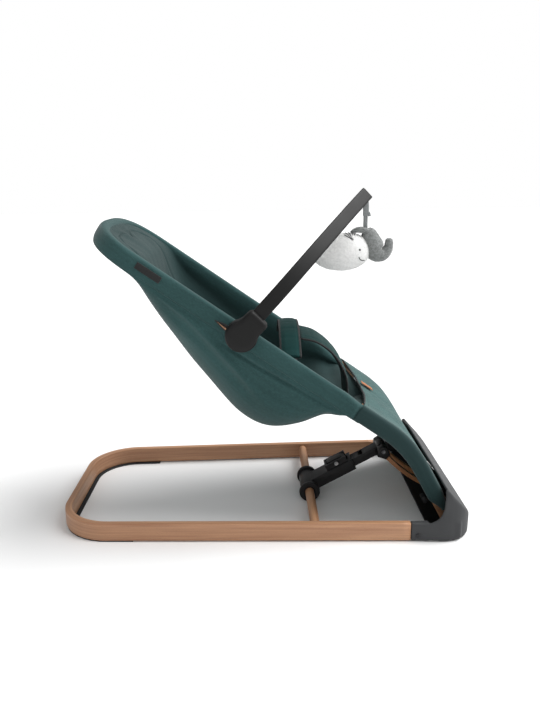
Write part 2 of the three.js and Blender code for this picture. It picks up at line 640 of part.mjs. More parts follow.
function buildArm() {
  const steps = 18;
  add('toy_arm', loft(Array.from({ length: steps + 1 }, (_, i) => armSection(i / steps))), blackPlastic());

  const stud = rodY(5, -186, -161, HUB_X, HUB_Z, 16);
  const disc = rodY(24, -181, -175.6, HUB_X, HUB_Z, 28);
  add('arm_bracket', combine(disc, { join: [stud] }), blackPlastic());

  const socketShape = new THREE.Shape();
  socketShape.absarc(0, 0, 28, Math.PI * 0.78, Math.PI * 2.22);
  socketShape.lineTo(18.5, 44);
  socketShape.quadraticCurveTo(18, 52, 10, 53);
  socketShape.lineTo(-10, 53);
  socketShape.quadraticCurveTo(-18, 52, -18.5, 44);
  const socket = spread(socketShape, -207, -182, 4)
    .rotateY(Math.PI / 2 - ARM_ANGLE).translate(HUB_X, 0, HUB_Z);
  const mouth = loft([-0.003, 1 / 18, 2 / 18, 3 / 18].map((t) => armSection(t, GAP)));
  add('arm_socket', combine(socket, {
    cut: [mouth, rodY(5.4, -188, -170, HUB_X, HUB_Z, 16)],
  }), blackPlastic());
}

function buildToys() {
  const strapX = 199;
  add('toy_strap', box(strapX - 5, strapX + 5, -3, 3, 549, 592), greyPlush());
  const body = new THREE.SphereGeometry(1, 24, 16).scale(56, 40, 37.5).translate(153, 0, 504);
  add('plush_white', body, whitePlush());
  const rump = new THREE.SphereGeometry(1, 20, 14).scale(25, 24, 25).translate(213, 0, 523);
  const tail = new THREE.CatmullRomCurve3([
    new THREE.Vector3(212, 0, 516), new THREE.Vector3(222, 0, 500), new THREE.Vector3(238, 0, 501),
    new THREE.Vector3(246, 0, 515), new THREE.Vector3(245, 0, 531),
  ]);
  const girth = [17, 15, 12, 9.5, 8.5, 7.5, 5];
  const limb = loft(girth.map((radius, i) => {
    const t = i / (girth.length - 1);
    const side = new THREE.Vector3().crossVectors(tail.getTangentAt(t), new THREE.Vector3(0, 1, 0)).normalize();
    return Array.from({ length: 12 }, (_, j) => {
      const angle = (2 * Math.PI * j) / 12;
      return tail.getPointAt(t).addScaledVector(side, radius * Math.cos(angle))
        .add(new THREE.Vector3(0, radius * Math.sin(angle), 0));
    });
  }));
  const clearance = new THREE.SphereGeometry(1, 24, 16).scale(56.6, 40.6, 38.1).translate(153, 0, 504);
  add('plush_grey', combine(rump, { join: [limb], cut: [clearance] }), greyPlush());
}

// ---- small trim ---------------------------------------------------------------------------
function buildTrim() {
  const labelAt = seatPoint(-170, 0, 3);
  const label = box(-24, 24, -COVER_HALF - 2, -COVER_HALF - 0.4, -6, 6).rotateY(SLOPE)
    .translate(labelAt.x, 0, labelAt.z);
  add('side_label', label, blackPlastic());
  const tagAt = seatPoint(BEND_S - 18, 0, COVER_T / 2 + 1.2);
  const tag = box(-14, 14, -9, 9, -0.8, 0.8).rotateY(SLOPE).translate(tagAt.x, 30, tagAt.z);
  add('leather_tag', tag, leather());
  for (const [name, side] of [['left', 1], ['right', -1]]) {
    const clip = box(-7, 7, ...spanY(side, LEG_Y - 8, LEG_Y + 8), -4, 4).rotateY(LEG_SLOPE)
      .translate(296.5, 0, 58);
    add(`cover_clip_${name}`, clip, blackPlastic());
  }
}

buildFloorFrame();
buildHousing();
buildSeatFrame();
buildCover();
buildRestraint();
buildSlats();
buildStrut();
buildArm();
buildToys();
buildTrim();

export default bouncer;
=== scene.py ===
"""Baby bouncer seat: cover, wood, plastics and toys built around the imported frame. Metres, +Z up."""

import logging
import math
from dataclasses import dataclass, field
from enum import Enum

import bmesh
import bpy
import numpy as np
from mathutils import Matrix, Vector, noise

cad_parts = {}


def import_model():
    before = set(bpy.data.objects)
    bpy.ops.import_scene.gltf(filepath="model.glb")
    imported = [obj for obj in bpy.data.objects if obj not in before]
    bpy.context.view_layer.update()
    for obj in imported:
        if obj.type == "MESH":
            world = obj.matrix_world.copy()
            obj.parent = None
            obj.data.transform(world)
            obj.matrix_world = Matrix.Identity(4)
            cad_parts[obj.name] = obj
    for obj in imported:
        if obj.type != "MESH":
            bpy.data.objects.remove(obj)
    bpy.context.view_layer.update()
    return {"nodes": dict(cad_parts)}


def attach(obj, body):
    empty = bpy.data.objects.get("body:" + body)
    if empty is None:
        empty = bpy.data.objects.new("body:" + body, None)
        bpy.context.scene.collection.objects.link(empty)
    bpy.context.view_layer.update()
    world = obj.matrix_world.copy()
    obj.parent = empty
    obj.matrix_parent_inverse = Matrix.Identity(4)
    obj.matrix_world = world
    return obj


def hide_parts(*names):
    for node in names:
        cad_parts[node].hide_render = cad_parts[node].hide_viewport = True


LOG = logging.getLogger("bouncer")
MM = 0.001
SEED = 7
OUTLINE_STEPS = 400
TINY = 1e-9


class Body(Enum):
    """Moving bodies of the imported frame."""

    BASE = "base"
    SLATS = "slats"
    SEAT = "seat"
    STRUT = "strut"
    SLIDER = "slider"
    LATCH = "latch"
    ARM = "arm"
    TOYS = "toys"


class Slot(Enum):
    """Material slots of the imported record."""

    BEECH = "beech"
    HOUSING = "housing_plastic"
    BLACK = "black_plastic"
    RUBBER = "rubber"
    STEEL = "steel"
    SLING = "sling_fabric"
    LEG = "leg_fabric"
    BELT = "belt_fabric"
    WEBBING = "webbing"
    LEATHER = "leather"
    WHITE_PLUSH = "white_plush"
    GREY_PLUSH = "grey_plush"


class Coords(Enum):
    """Where a pattern is read from."""

    UV = "UV"
    OBJECT = "Object"


# ---- shader maths ---------------------------------------------------------------------------
def tone(code: str) -> tuple[float, float, float, float]:
    """Linear colour of a six-digit sRGB code."""
    parts = [int(code[i : i + 2], 16) / 255 for i in (0, 2, 4)]
    linear = [p / 12.92 if p <= 0.04045 else ((p + 0.055) / 1.055) ** 2.4 for p in parts]
    return (linear[0], linear[1], linear[2], 1.0)


class Wire:
    """A shader socket that takes part in arithmetic: each operator adds a Math node."""

    def __init__(self, graph: "Graph", socket: bpy.types.NodeSocket) -> None:
        """Keeps the graph and the output socket."""
        self.graph = graph
        self.socket = socket

    def __add__(self, other: "Wire | float") -> "Wire":
        """Sum."""
        return self.graph.math("ADD", self, other)

    __radd__ = __add__

    def __mul__(self, other: "Wire | float") -> "Wire":
        """Product."""
        return self.graph.math("MULTIPLY", self, other)

    __rmul__ = __mul__

    def __sub__(self, other: "Wire | float") -> "Wire":
        """Difference."""
        return self.graph.math("SUBTRACT", self, other)

    def __rsub__(self, other: "Wire | float") -> "Wire":
        """Difference with the wire on the right."""
        return self.graph.math("SUBTRACT", other, self)

    def sine(self) -> "Wire":
        """Sine of the value."""
        return self.graph.math("SINE", self)

    def peak(self, other: "Wire | float") -> "Wire":
        """Larger of two values."""
        return self.graph.math("MAXIMUM", self, other)

    def step(self, low: float, high: float) -> "Wire":
        """Smooth rise from 0 at low to 1 at high.

        Args:
            low: value where the rise starts.
            high: value where it ends.

        Returns:
            The eased value.
        """
        settings = {"interpolation_type": "SMOOTHSTEP"}
        return self.graph.node("ShaderNodeMapRange", settings, {0: self, 1: low, 2: high})


class Graph:
    """One material's node tree."""

    def __init__(self, name: str) -> None:
        """Starts an empty material with its shader and output."""
        self.material = bpy.data.materials.new(name)
        self.material.use_nodes = True
        self.tree = self.material.node_tree
        self.tree.nodes.clear()
        self.shader = self.tree.nodes.new("ShaderNodeBsdfPrincipled")
        output = self.tree.nodes.new("ShaderNodeOutputMaterial")
        self.tree.links.new(self.shader.outputs[0], output.inputs["Surface"])

    def feed(self, socket: bpy.types.NodeSocket, value: object) -> None:
        """Links a wire to a socket, or sets the socket's own value."""
        if isinstance(value, Wire):
            self.tree.links.new(value.socket, socket)
        else:
            socket.default_value = value

    def node(
        self, kind: str, settings: dict | None = None, inputs: dict | None = None, output: int | str = 0
    ) -> Wire:
        """Adds a node.

        Args:
            kind: node type.
            settings: attributes set first; "stops" holds a colour ramp's positions and colours.
            inputs: values or wires by socket name or number.
            output: socket to return.

        Returns:
            The chosen output as a wire.
        """
        made = self.tree.nodes.new(kind)
        for key, value in (settings or {}).items():
            if key == "stops":
                for stop in value[2:]:
                    made.color_ramp.elements.new(stop[0])
                for element, (place, colour) in zip(made.color_ramp.elements, value, strict=True):
                    element.position = place
                    element.color = colour
            else:
                setattr(made, key, value)
        for key, value in (inputs or {}).items():
            self.feed(made.inputs[key], value)
        return Wire(self, made.outputs[output])

    def math(self, operation: str, *values: "Wire | float") -> Wire:
        """Adds a Math node on one or two values."""
        return self.node("ShaderNodeMath", {"operation": operation}, dict(enumerate(values)))

    def mix(self, share: "Wire | float", first: object, second: object) -> Wire:
        """Mixes two colours by a share."""
        inputs = {0: share, 6: first, 7: second}
        return self.node("ShaderNodeMix", {"data_type": "RGBA"}, inputs, 2)

    def place(self, coords: Coords, scale: tuple[float, float, float], turn_y: float = 0.0) -> Wire:
        """Coordinates in metres, turned about Y and then scaled.

        Args:
            coords: UV map or object coordinates.
            scale: scale along each axis.
            turn_y: turn about Y, in radians.

        Returns:
            The coordinates as a vector wire.
        """
        base = self.node("ShaderNodeTexCoord", output=coords.value)
        if turn_y:
            base = self.node("ShaderNodeMapping", inputs={0: base, 2: (0.0, turn_y, 0.0)})
        return self.node("ShaderNodeMapping", inputs={0: base, 3: scale})

    def grain(self, vector: Wire, scale: float, detail: float = 2.0, roughness: float = 0.5) -> Wire:
        """Noise value at a vector."""
        inputs = {"Vector": vector, "Scale": scale, "Detail": detail, "Roughness": roughness}
        return self.node("ShaderNodeTexNoise", inputs=inputs)

    def split(self, vector: Wire) -> tuple[Wire, Wire, Wire]:
        """The three parts of a vector."""
        parts = self.node("ShaderNodeSeparateXYZ", inputs={0: vector})
        outputs = parts.socket.node.outputs
        return Wire(self, outputs[0]), Wire(self, outputs[1]), Wire(self, outputs[2])

    def close(
        self, colour: object, roughness: object, height: Wire, depth: float, **fixed: float
    ) -> bpy.types.Material:
        """Feeds the shader and returns the material.

        Args:
            colour: base colour.
            roughness: roughness.
            height: relief, 0 to 1.
            depth: real depth of the relief in metres.
            **fixed: other shader sockets that are the same all over, with _ for a space.

        Returns:
            The finished material.
        """
        self.feed(self.shader.inputs["Base Color"], colour)
        self.feed(self.shader.inputs["Roughness"], roughness)
        relief = {"Height": height, "Strength": 1.0, "Distance": depth}
        bump = self.node("ShaderNodeBump", inputs=relief, output="Normal")
        self.feed(self.shader.inputs["Normal"], bump)
        for key, value in fixed.items():
            self.shader.inputs[key.replace("_", " ")].default_value = value
        return self.material


# ---- finishes -------------------------------------------------------------------------------
@dataclass(frozen=True)
class Finish:
    """A surface finish; one material is made for each and shared."""

    name: str
    slot: Slot

    def weave(self) -> bpy.types.Material:
        """Builds the material; each kind of finish has its own way."""
        raise NotImplementedError

    def material(self) -> bpy.types.Material:
        """The finish's material, made the first time it is needed."""
        return bpy.data.materials.get(self.name) or self.weave()


@dataclass(frozen=True)
class Beech(Finish):
    """Lacquered bent beech, with the grain along U or along the object's turned X axis."""

    pale: str = "c0936f"
    brown: str = "96684a"
    coords: Coords = Coords.UV
    turn_y: float = 0.0
    grain_along: tuple[float, float, float] = (1.0, 1.0, 1.0)

    def lie(self, graph: Graph, lengthwise: float, crosswise: float) -> Wire:
        """Coordinates scaled along the grain and across it."""
        along, across, depth = self.grain_along
        scale = (lengthwise * along, crosswise * across, crosswise * depth)
        return graph.place(self.coords, scale, self.turn_y)

    def weave(self) -> bpy.types.Material:
        """Long streaks, short dark flecks and slow changes of tone."""
        graph = Graph(self.name)
        streaks = graph.grain(self.lie(graph, 5, 210), 1.0, 4.0, 0.6)
        bands = graph.grain(self.lie(graph, 2.2, 34), 1.0, 2.0)
        flecks = graph.grain(self.lie(graph, 230, 1500), 1.0, 1.0)
        fleck = flecks.step(0.62, 0.74)
        share = streaks.step(0.3, 0.7) * 0.55 + bands.step(0.3, 0.7) * 0.45
        colour = graph.mix(share, tone(self.brown), tone(self.pale))
        colour = graph.mix(fleck * 0.5, colour, tone("70492f"))
        roughness = 0.42 + streaks * 0.16 + fleck * 0.1
        height = streaks * 0.6 - fleck * 0.5
        return graph.close(colour, roughness, height, 0.12 * MM, Coat_Weight=0.18, Coat_Roughness=0.3)


@dataclass(frozen=True)
class Moulded(Finish):
    """Injection-moulded plastic with a fine eroded texture and faint scuffs."""

    colour: str = "262627"
    worn: str = "3a3b3c"
    rough: float = 0.5
    pebble: float = 1400.0
    relief: float = 0.06

    def weave(self) -> bpy.types.Material:
        """Pebbled relief, tone drift and long thin scuffs."""
        graph = Graph(self.name)
        place = graph.place(Coords.OBJECT, (1.0, 1.0, 1.0))
        pebbles = graph.grain(place, self.pebble, 2.0, 0.6)
        drift = graph.grain(place, 9.0, 3.0)
        scuffs = graph.grain(graph.place(Coords.OBJECT, (40.0, 900.0, 300.0), 0.6), 1.0, 2.0).step(0.66, 0.8)
        colour = graph.mix(drift.step(0.35, 0.75) * 0.5 + scuffs * 0.3, tone(self.colour), tone(self.worn))
        roughness = self.rough + drift * 0.14 - scuffs * 0.1
        return graph.close(colour, roughness, pebbles, self.relief * MM, Specular_IOR_Level=0.28)


@dataclass(frozen=True)
class Metal(Finish):
    """Turned or rolled steel, with fine rings left by the tool."""

    colour: str = "c4c5c6"

    def weave(self) -> bpy.types.Material:
        """Fine tool marks across the axis and slight tarnish."""
        graph = Graph(self.name)
        marks = graph.grain(graph.place(Coords.OBJECT, (60.0, 2600.0, 60.0)), 1.0, 2.0)
        tarnish = graph.grain(graph.place(Coords.OBJECT, (1.0, 1.0, 1.0)), 60.0, 2.0)
        colour = graph.mix(tarnish.step(0.45, 0.8), tone(self.colour), tone("8d8e90"))
        return graph.close(colour, 0.22 + marks * 0.2 + tarnish * 0.12, marks, 0.02 * MM, Metallic=1.0)


@dataclass(frozen=True)
class Cloth(Finish):
    """Heathered woven cloth: crossing threads and mixed fibres.

    Shading is painted in too: sides darkens the flanks, and inner darkens the inner face.
    """

    shade: str = "2a4243"
    light: str = "466a6a"
    thread: float = 1.5
    relief: float = 0.22
    streak: float = 0.35
    sheen: float = 0.12
    sides: float = 0.0
    inner: float = 0.0

    def weave(self) -> bpy.types.Material:
        """Threads each way, heather in both directions and broad changes of tone."""
        graph = Graph(self.name)
        along, across, _ = graph.split(graph.place(Coords.UV, (1.0, 1.0, 1.0)))
        turns = 2 * math.pi / (self.thread * MM)
        warp = (along * turns).sine() * 0.5 + 0.5
        weft = (across * turns).sine() * 0.5 + 0.5
        heather_a = graph.grain(graph.place(Coords.UV, (160.0, 1300.0, 1.0)), 1.0, 3.0, 0.65)
        heather_b = graph.grain(graph.place(Coords.UV, (1300.0, 220.0, 1.0)), 1.0, 3.0, 0.65)
        broad = graph.grain(graph.place(Coords.UV, (6.0, 11.0, 1.0)), 1.0, 3.0)
        pleat = graph.grain(graph.place(Coords.UV, (9.0, 150.0, 1.0)), 1.0, 2.0)
        mixed = heather_a * (0.5 - self.streak * 0.3) + heather_b * 0.26 + broad * 0.24
        mixed = mixed + pleat * (self.streak * 0.4)
        colour = graph.mix(mixed.step(0.3, 0.72), tone(self.shade), tone(self.light))
        if self.sides:
            width = graph.math("ABSOLUTE", graph.split(graph.place(Coords.OBJECT, (1.0, 1.0, 1.0)))[1])
            colour = graph.mix(width.step(0.161, 0.172) * self.sides, colour, tone("14292a"))
        if self.inner:
            colour = graph.mix(across.step(self.inner - 0.02, self.inner) * 0.7, colour, tone("132525"))
        height = warp.peak(weft) * 0.45 + heather_a * 0.3 + pleat * 0.9
        return graph.close(colour, 0.86 + heather_a * 0.1, height, self.relief * MM,
                           Sheen_Weight=self.sheen, Sheen_Roughness=0.45, Specular_IOR_Level=0.25)


@dataclass(frozen=True)
class Webbing(Finish):
    """Narrow woven tape with ribs across it."""

    colour: str = "08090a"
    dust: str = "1c1d1e"
    rib: float = 1.1

    def weave(self) -> bpy.types.Material:
        """Ribs in both directions and faint dust."""
        graph = Graph(self.name)
        x, y, z = graph.split(graph.place(Coords.OBJECT, (1.0, 1.0, 1.0), 0.61))
        turns = 2 * math.pi / (self.rib * MM)
        ribs = (x * turns).sine() * ((y + z) * turns).sine() * 0.5 + 0.5
        dust = graph.grain(graph.place(Coords.OBJECT, (1.0, 1.0, 1.0)), 220.0, 3.0)
        colour = graph.mix(dust.step(0.5, 0.8) * 0.5 + ribs * 0.2, tone(self.colour), tone(self.dust))
        return graph.close(colour, 0.7 + dust * 0.2, ribs, 0.25 * MM, Sheen_Weight=0.15)


@dataclass(frozen=True)
class Leather(Finish):
    """Small tag of dyed leather with a pebbled grain."""

    colour: str = "b87346"

    def weave(self) -> bpy.types.Material:
        """Cells of the grain and uneven dye."""
        graph = Graph(self.name)
        place = graph.place(Coords.OBJECT, (1.0, 1.0, 1.0))
        settings = {"feature": "SMOOTH_F1"}
        cells = graph.node("ShaderNodeTexVoronoi", settings, {"Vector": place, "Scale": 900.0})
        dye = graph.grain(place, 180.0, 3.0)
        colour = graph.mix(dye.step(0.35, 0.75), tone("8f5632"), tone(self.colour))
        return graph.close(colour, 0.5 + cells * 0.3, cells, 0.15 * MM)


@dataclass(frozen=True)
class Fleece(Finish):
    """Short brushed pile."""

    colour: str = "fbfbfa"
    shadow: str = "ececeb"
    density: float = 420000.0
    length: float = 1.5 * MM
    girth: float = 0.32 * MM

    def weave(self) -> bpy.types.Material:
        """Soft clumps of pile and single fibres."""
        graph = Graph(self.name)
        place = graph.place(Coords.OBJECT, (1.0, 1.0, 1.0))
        clumps = graph.grain(place, 260.0, 3.0, 0.6)
        fibres = graph.grain(place, 2400.0, 2.0)
        colour = graph.mix(clumps.step(0.3, 0.7), tone(self.shadow), tone(self.colour))
        height = clumps * 0.7 + fibres * 0.3
        roughness = 0.9 + fibres * 0.08
        return graph.close(colour, roughness, height, 0.5 * MM, Sheen_Weight=0.6, Sheen_Roughness=0.5)


SEAT_SLOPE = math.atan(0.7)
BENT_BEECH = Beech("bent_beech", Slot.BEECH)
SEAT_BEECH = Beech("seat_beech", Slot.BEECH, coords=Coords.OBJECT, turn_y=-SEAT_SLOPE)
DOWEL_BEECH = Beech("dowel_beech", Slot.BEECH, coords=Coords.OBJECT, grain_along=(42.0, 1 / 42.0, 1.0))
SLAT_BEECH = Beech("slat_beech", Slot.BEECH, "c9905f", "9a6440", Coords.OBJECT, -math.radians(50))
HOUSING = Moulded("housing_grain", Slot.HOUSING, "343536", "444547", 0.55, 1100.0, 0.09)
BLACK = Moulded("black_grain", Slot.BLACK, "070707", "0e0e0f", 0.5, 1600.0, 0.05)
STRUT_BLACK = Moulded("strut_grain", Slot.BLACK, "141415", "222223", 0.4, 1500.0, 0.05)
RUBBER = Moulded("rubber_grain", Slot.RUBBER, "2a2a2b", "3a3a3b", 0.82, 700.0, 0.15)
STEEL = Metal("bright_steel", Slot.STEEL)
DARK_STEEL = Metal("dark_steel", Slot.STEEL, "3a3a3b")
SLING_CLOTH = Cloth("sling_cloth", Slot.SLING, "1c3433", "345454", inner=0.262)
LEG_CLOTH = Cloth("leg_cloth", Slot.LEG, "213d3c", "42615f", 1.5, 0.3, 0.9, 0.2, sides=0.85)
BELT_CLOTH = Cloth("belt_cloth", Slot.BELT, "012524", "043836", 1.2, 0.2, 0.3, 0.06)
TAPE = Webbing("black_tape", Slot.WEBBING)
BINDING = Webbing("black_binding", Slot.WEBBING, "060607", "141516", 0.9)
TAG_LEATHER = Leather("tag_leather", Slot.LEATHER)
WHITE_FLEECE = Fleece("white_fleece", Slot.WHITE_PLUSH)
GREY_FLEECE = Fleece("grey_fleece", Slot.GREY_PLUSH, "8f9291", "6f7271", 380000.0, 0.9 * MM, 0.26 * MM)
GREY_TAPE = Webbing("grey_tape", Slot.GREY_PLUSH, "85898a", "989c9c", 1.0)
THREAD_TEAL = Webbing("teal_thread", Slot.SLING, "2c4a49", "3d5f5e", 0.5)
THREAD_DARK = Webbing("dark_thread", Slot.WEBBING, "1c1f21", "303335", 0.5)
THREAD_TAN = Webbing("tan_thread", Slot.LEATHER, "d9a97f", "e8c3a0", 0.5)


# ---- mesh helpers ---------------------------------------------------------------------------
def catmull(knots: list[tuple[float, ...]], count: int) -> np.ndarray:
    """Points along a smooth curve through knots, evenly spaced along its length.

    Args:
        knots: points that the curve passes through.
        count: number of points to return.

    Returns:
        An array of count points.
    """
    known = np.array(knots, float)
    padded = np.vstack([2 * known[0] - known[1], known, 2 * known[-1] - known[-2]])
    t = np.linspace(0, 1, 24, endpoint=False)[:, None]
    spans = []
    for a, b, c, d in zip(padded, padded[1:], padded[2:], padded[3:]):
        square = (2 * a - 5 * b + 4 * c - d) * t**2
        cube = (3 * b - a - 3 * c + d) * t**3
        spans.append(0.5 * (2 * b + (c - a) * t + square + cube))
    return spaced(np.vstack([*spans, known[-1:]]), count)


def spaced(points: np.ndarray, count: int) -> np.ndarray:
    """Resamples a polyline at equal steps of its length."""
    reach = np.concatenate([[0.0], np.cumsum(np.linalg.norm(np.diff(points, axis=0), axis=1))])
    at = np.linspace(0, reach[-1], count)
    return np.stack([np.interp(at, reach, points[:, k]) for k in range(points.shape[1])], axis=1)


def tangents(points: np.ndarray) -> np.ndarray:
    """Unit directions along a polyline."""
    along = np.gradient(points, axis=0)
    return along / np.maximum(np.linalg.norm(along, axis=1, keepdims=True), TINY)


def smooth(value: np.ndarray | float, low: float, high: float) -> np.ndarray:
    """Eased rise from 0 at low to 1 at high."""
    t = np.clip((np.asarray(value, float) - low) / (high - low), 0, 1)
    return t * t * (3 - 2 * t)


def oval(half: float, tall: float, power: float, start: float, end: float, count: int) -> np.ndarray:
    """Part of a squared oval.

    Args:
        half: half width.
        tall: half height.
        power: 2 for an ellipse, more for squarer corners.
        start: first angle in degrees.
        end: last angle in degrees.
        count: number of points.

    Returns:
        Points as rows of two values.
    """
    angle = np.radians(np.linspace(start, end, count))
    cos, sin = np.cos(angle), np.sin(angle)
    bend = 2 / power
    across = half * np.sign(cos) * np.abs(cos) ** bend
    above = tall * np.sign(sin) * np.abs(sin) ** bend
    return np.stack([across, above], axis=1)


def closed_oval(half: float, tall: float, power: float, count: int) -> np.ndarray:
    """A whole squared oval, without its first point again at the end."""
    return oval(half, tall, power, 0, 360, count + 1)[:-1]


def sweep(
    path: np.ndarray, side: np.ndarray, up: np.ndarray, section: np.ndarray, scale: np.ndarray | None = None
) -> np.ndarray:
    """Rows of points made by carrying a section along a path.

    Args:
        path: points of the path.
        side: unit direction of the section's first value at each point.
        up: unit direction of its second value.
        section: points of the section.
        scale: two factors for each point of the path, or None.

    Returns:
        An array of rows of points.
    """
    shape = np.repeat(section[None], len(path), axis=0)
    if scale is not None:
        shape = shape * scale[:, None, :]
    return path[:, None] + shape[..., :1] * side[:, None] + shape[..., 1:] * up[:, None]


def roll(path: np.ndarray, reference: tuple[float, float, float]) -> tuple[np.ndarray, np.ndarray]:
    """Side and up directions along a path, from a direction that the side stays near."""
    along = tangents(path)
    up = np.cross(along, np.array(reference, float))
    up /= np.maximum(np.linalg.norm(up, axis=1, keepdims=True), TINY)
    return np.cross(up, along), up


@dataclass
class Skin:
    """A mesh through rows of points, with a UV map in metres: U along the rows, V across them."""

    rows: np.ndarray
    around: bool = False
    caps: bool = False

    def build(self, name: str) -> bpy.types.Object:
        """Makes the mesh object.

        Args:
            name: name of the piece.

        Returns:
            The linked object, with faces outwards where the shape is closed.
        """
        rows = self.rows
        count, width = rows.shape[:2]
        columns = width if self.around else width - 1
        u = np.concatenate([[0.0], np.cumsum(np.linalg.norm(np.diff(rows, axis=0), axis=2).mean(axis=1))])
        crossed = np.concatenate([rows, rows[:, :1]], axis=1) if self.around else rows
        v = np.concatenate([[0.0], np.cumsum(np.linalg.norm(np.diff(crossed, axis=1), axis=2).mean(axis=0))])
        faces, places = [], []
        for i in range(count - 1):
            near, far = i * width, (i + 1) * width
            for j in range(columns):
                k = (j + 1) % width
                faces.append((near + j, near + k, far + k, far + j))
                places += [(u[i], v[j]), (u[i], v[j + 1]), (u[i + 1], v[j + 1]), (u[i + 1], v[j])]
        if self.caps:
            for i, turn in ((0, 1), (count - 1, -1)):
                order = list(range(width))[::turn]
                faces.append(tuple(i * width + j for j in order))
                places += [(u[i], v[j]) for j in order]
        return made_mesh(name, rows.reshape(-1, 3), faces, places, self.caps)


def capped(name: str, rows: np.ndarray) -> bpy.types.Object:
    """A closed mesh round rows of points, capped at both ends."""
    return Skin(rows, around=True, caps=True).build(name)


def made_mesh(name: str, points: np.ndarray, faces: list, places: list, closed: bool) -> bpy.types.Object:
    """Links a smooth mesh object with a UV for each corner.

    Args:
        name: name of the piece.
        points: vertex positions.
        faces: vertex numbers of each face.
        places: UV of each face corner.
        closed: True to turn the faces outwards.

    Returns:
        The new object.
    """
    mesh = bpy.data.meshes.new(name)
    mesh.from_pydata([tuple(p) for p in points], [], faces)
    layer = mesh.uv_layers.new(name="Cut")
    layer.data.foreach_set("uv", np.array(places, np.float32).ravel())
    tidy(mesh, closed)
    return linked(name, mesh)


def tidy(mesh: bpy.types.Mesh, closed: bool, merge: float = 1e-6) -> None:
    """Merges doubles, turns a closed mesh outwards and shades it smooth."""
    cage = bmesh.new()
    cage.from_mesh(mesh)
    bmesh.ops.remove_doubles(cage, verts=cage.verts, dist=merge)
    bmesh.ops.dissolve_degenerate(cage, dist=merge, edges=cage.edges)
    if closed:
        bmesh.ops.recalc_face_normals(cage, faces=cage.faces)
    cage.to_mesh(mesh)
    cage.free()
    mesh.shade_smooth()


def linked(name: str, mesh: bpy.types.Mesh) -> bpy.types.Object:
    """A new object in the scene that shows a mesh."""
    made = bpy.data.objects.new(name, mesh)
    bpy.context.scene.collection.objects.link(made)
    return made


def baked(source: bpy.types.Object, name: str) -> bpy.types.Object:
    """A plain copy of an object with its modifiers applied; the source is removed."""
    bpy.context.view_layer.update()
    graph = bpy.context.evaluated_depsgraph_get()
    mesh = bpy.data.meshes.new_from_object(source.evaluated_get(graph))
    bpy.data.objects.remove(source)
    mesh.name = name
    return linked(name, mesh)


def joined(name: str, parts: list[bpy.types.Object]) -> bpy.types.Object:
    """One object from several, keeping their UV maps and materials."""
    with bpy.context.temp_override(active_object=parts[0], selected_editable_objects=parts):
        bpy.ops.object.join()
    parts[0].name = name
    parts[0].data.name = name
    return parts[0]


def refined(node: str, width: float = 0.6 * MM, segments: int = 2, crease: float = 32.0) -> bpy.types.Object:
    """A copy of a frame node with merged corners and rounded edges.

    Args:
        node: name of the frame node.
        width: width of the rounded edges.
        segments: steps across each rounded edge.
        crease: angle in degrees over which an edge is rounded.

    Returns:
        The new piece, named after the node with _fine.
    """
    source = bpy.data.objects[node]
    mesh = source.data.copy()
    cage = bmesh.new()
    cage.from_mesh(mesh)
    bmesh.ops.remove_doubles(cage, verts=cage.verts, dist=1e-5)
    bmesh.ops.dissolve_limit(cage, angle_limit=math.radians(0.6), verts=cage.verts, edges=cage.edges)
    cage.to_mesh(mesh)
    cage.free()
    for item in [a.name for a in mesh.attributes if a.name in ("custom_normal", "sharp_face")]:
        mesh.attributes.remove(mesh.attributes[item])
    mesh.materials.clear()
    rough = linked("rough", mesh)
    bevel = rough.modifiers.new("edge", "BEVEL")
    bevel.width = width
    bevel.segments = segments
    bevel.limit_method = "ANGLE"
    bevel.angle_limit = math.radians(crease)
    bevel.miter_outer = "MITER_ARC"
    made = baked(rough, node + "_fine")
    made.data.shade_smooth()
    made.data.set_sharp_from_angle(angle=math.radians(crease))
    return made


def dress(piece: bpy.types.Object, finish: Finish, body: Body, *nodes: str) -> bpy.types.Object:
    """Gives a piece its finish and its body, and hides the nodes that it stands for.

    Args:
        piece: the finished mesh object.
        finish: its surface finish.
        body: the body that it moves with.
        *nodes: frame nodes that it replaces.

    Returns:
        The piece.
    """
    piece.data.materials.clear()
    piece.data.materials.append(finish.material())
    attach(piece, body.value)
    if nodes:
        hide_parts(*nodes)
    LOG.info("%s: %d faces on %s", piece.name, len(piece.data.polygons), body.value)
    return piece


def polished(
    node: str, finish: Finish, body: Body, width: float = 0.6 * MM, segments: int = 2
) -> bpy.types.Object:
    """A frame node with its edges rounded, dressed and shown in the node's place."""
    return dress(refined(node, width, segments), finish, body, node)


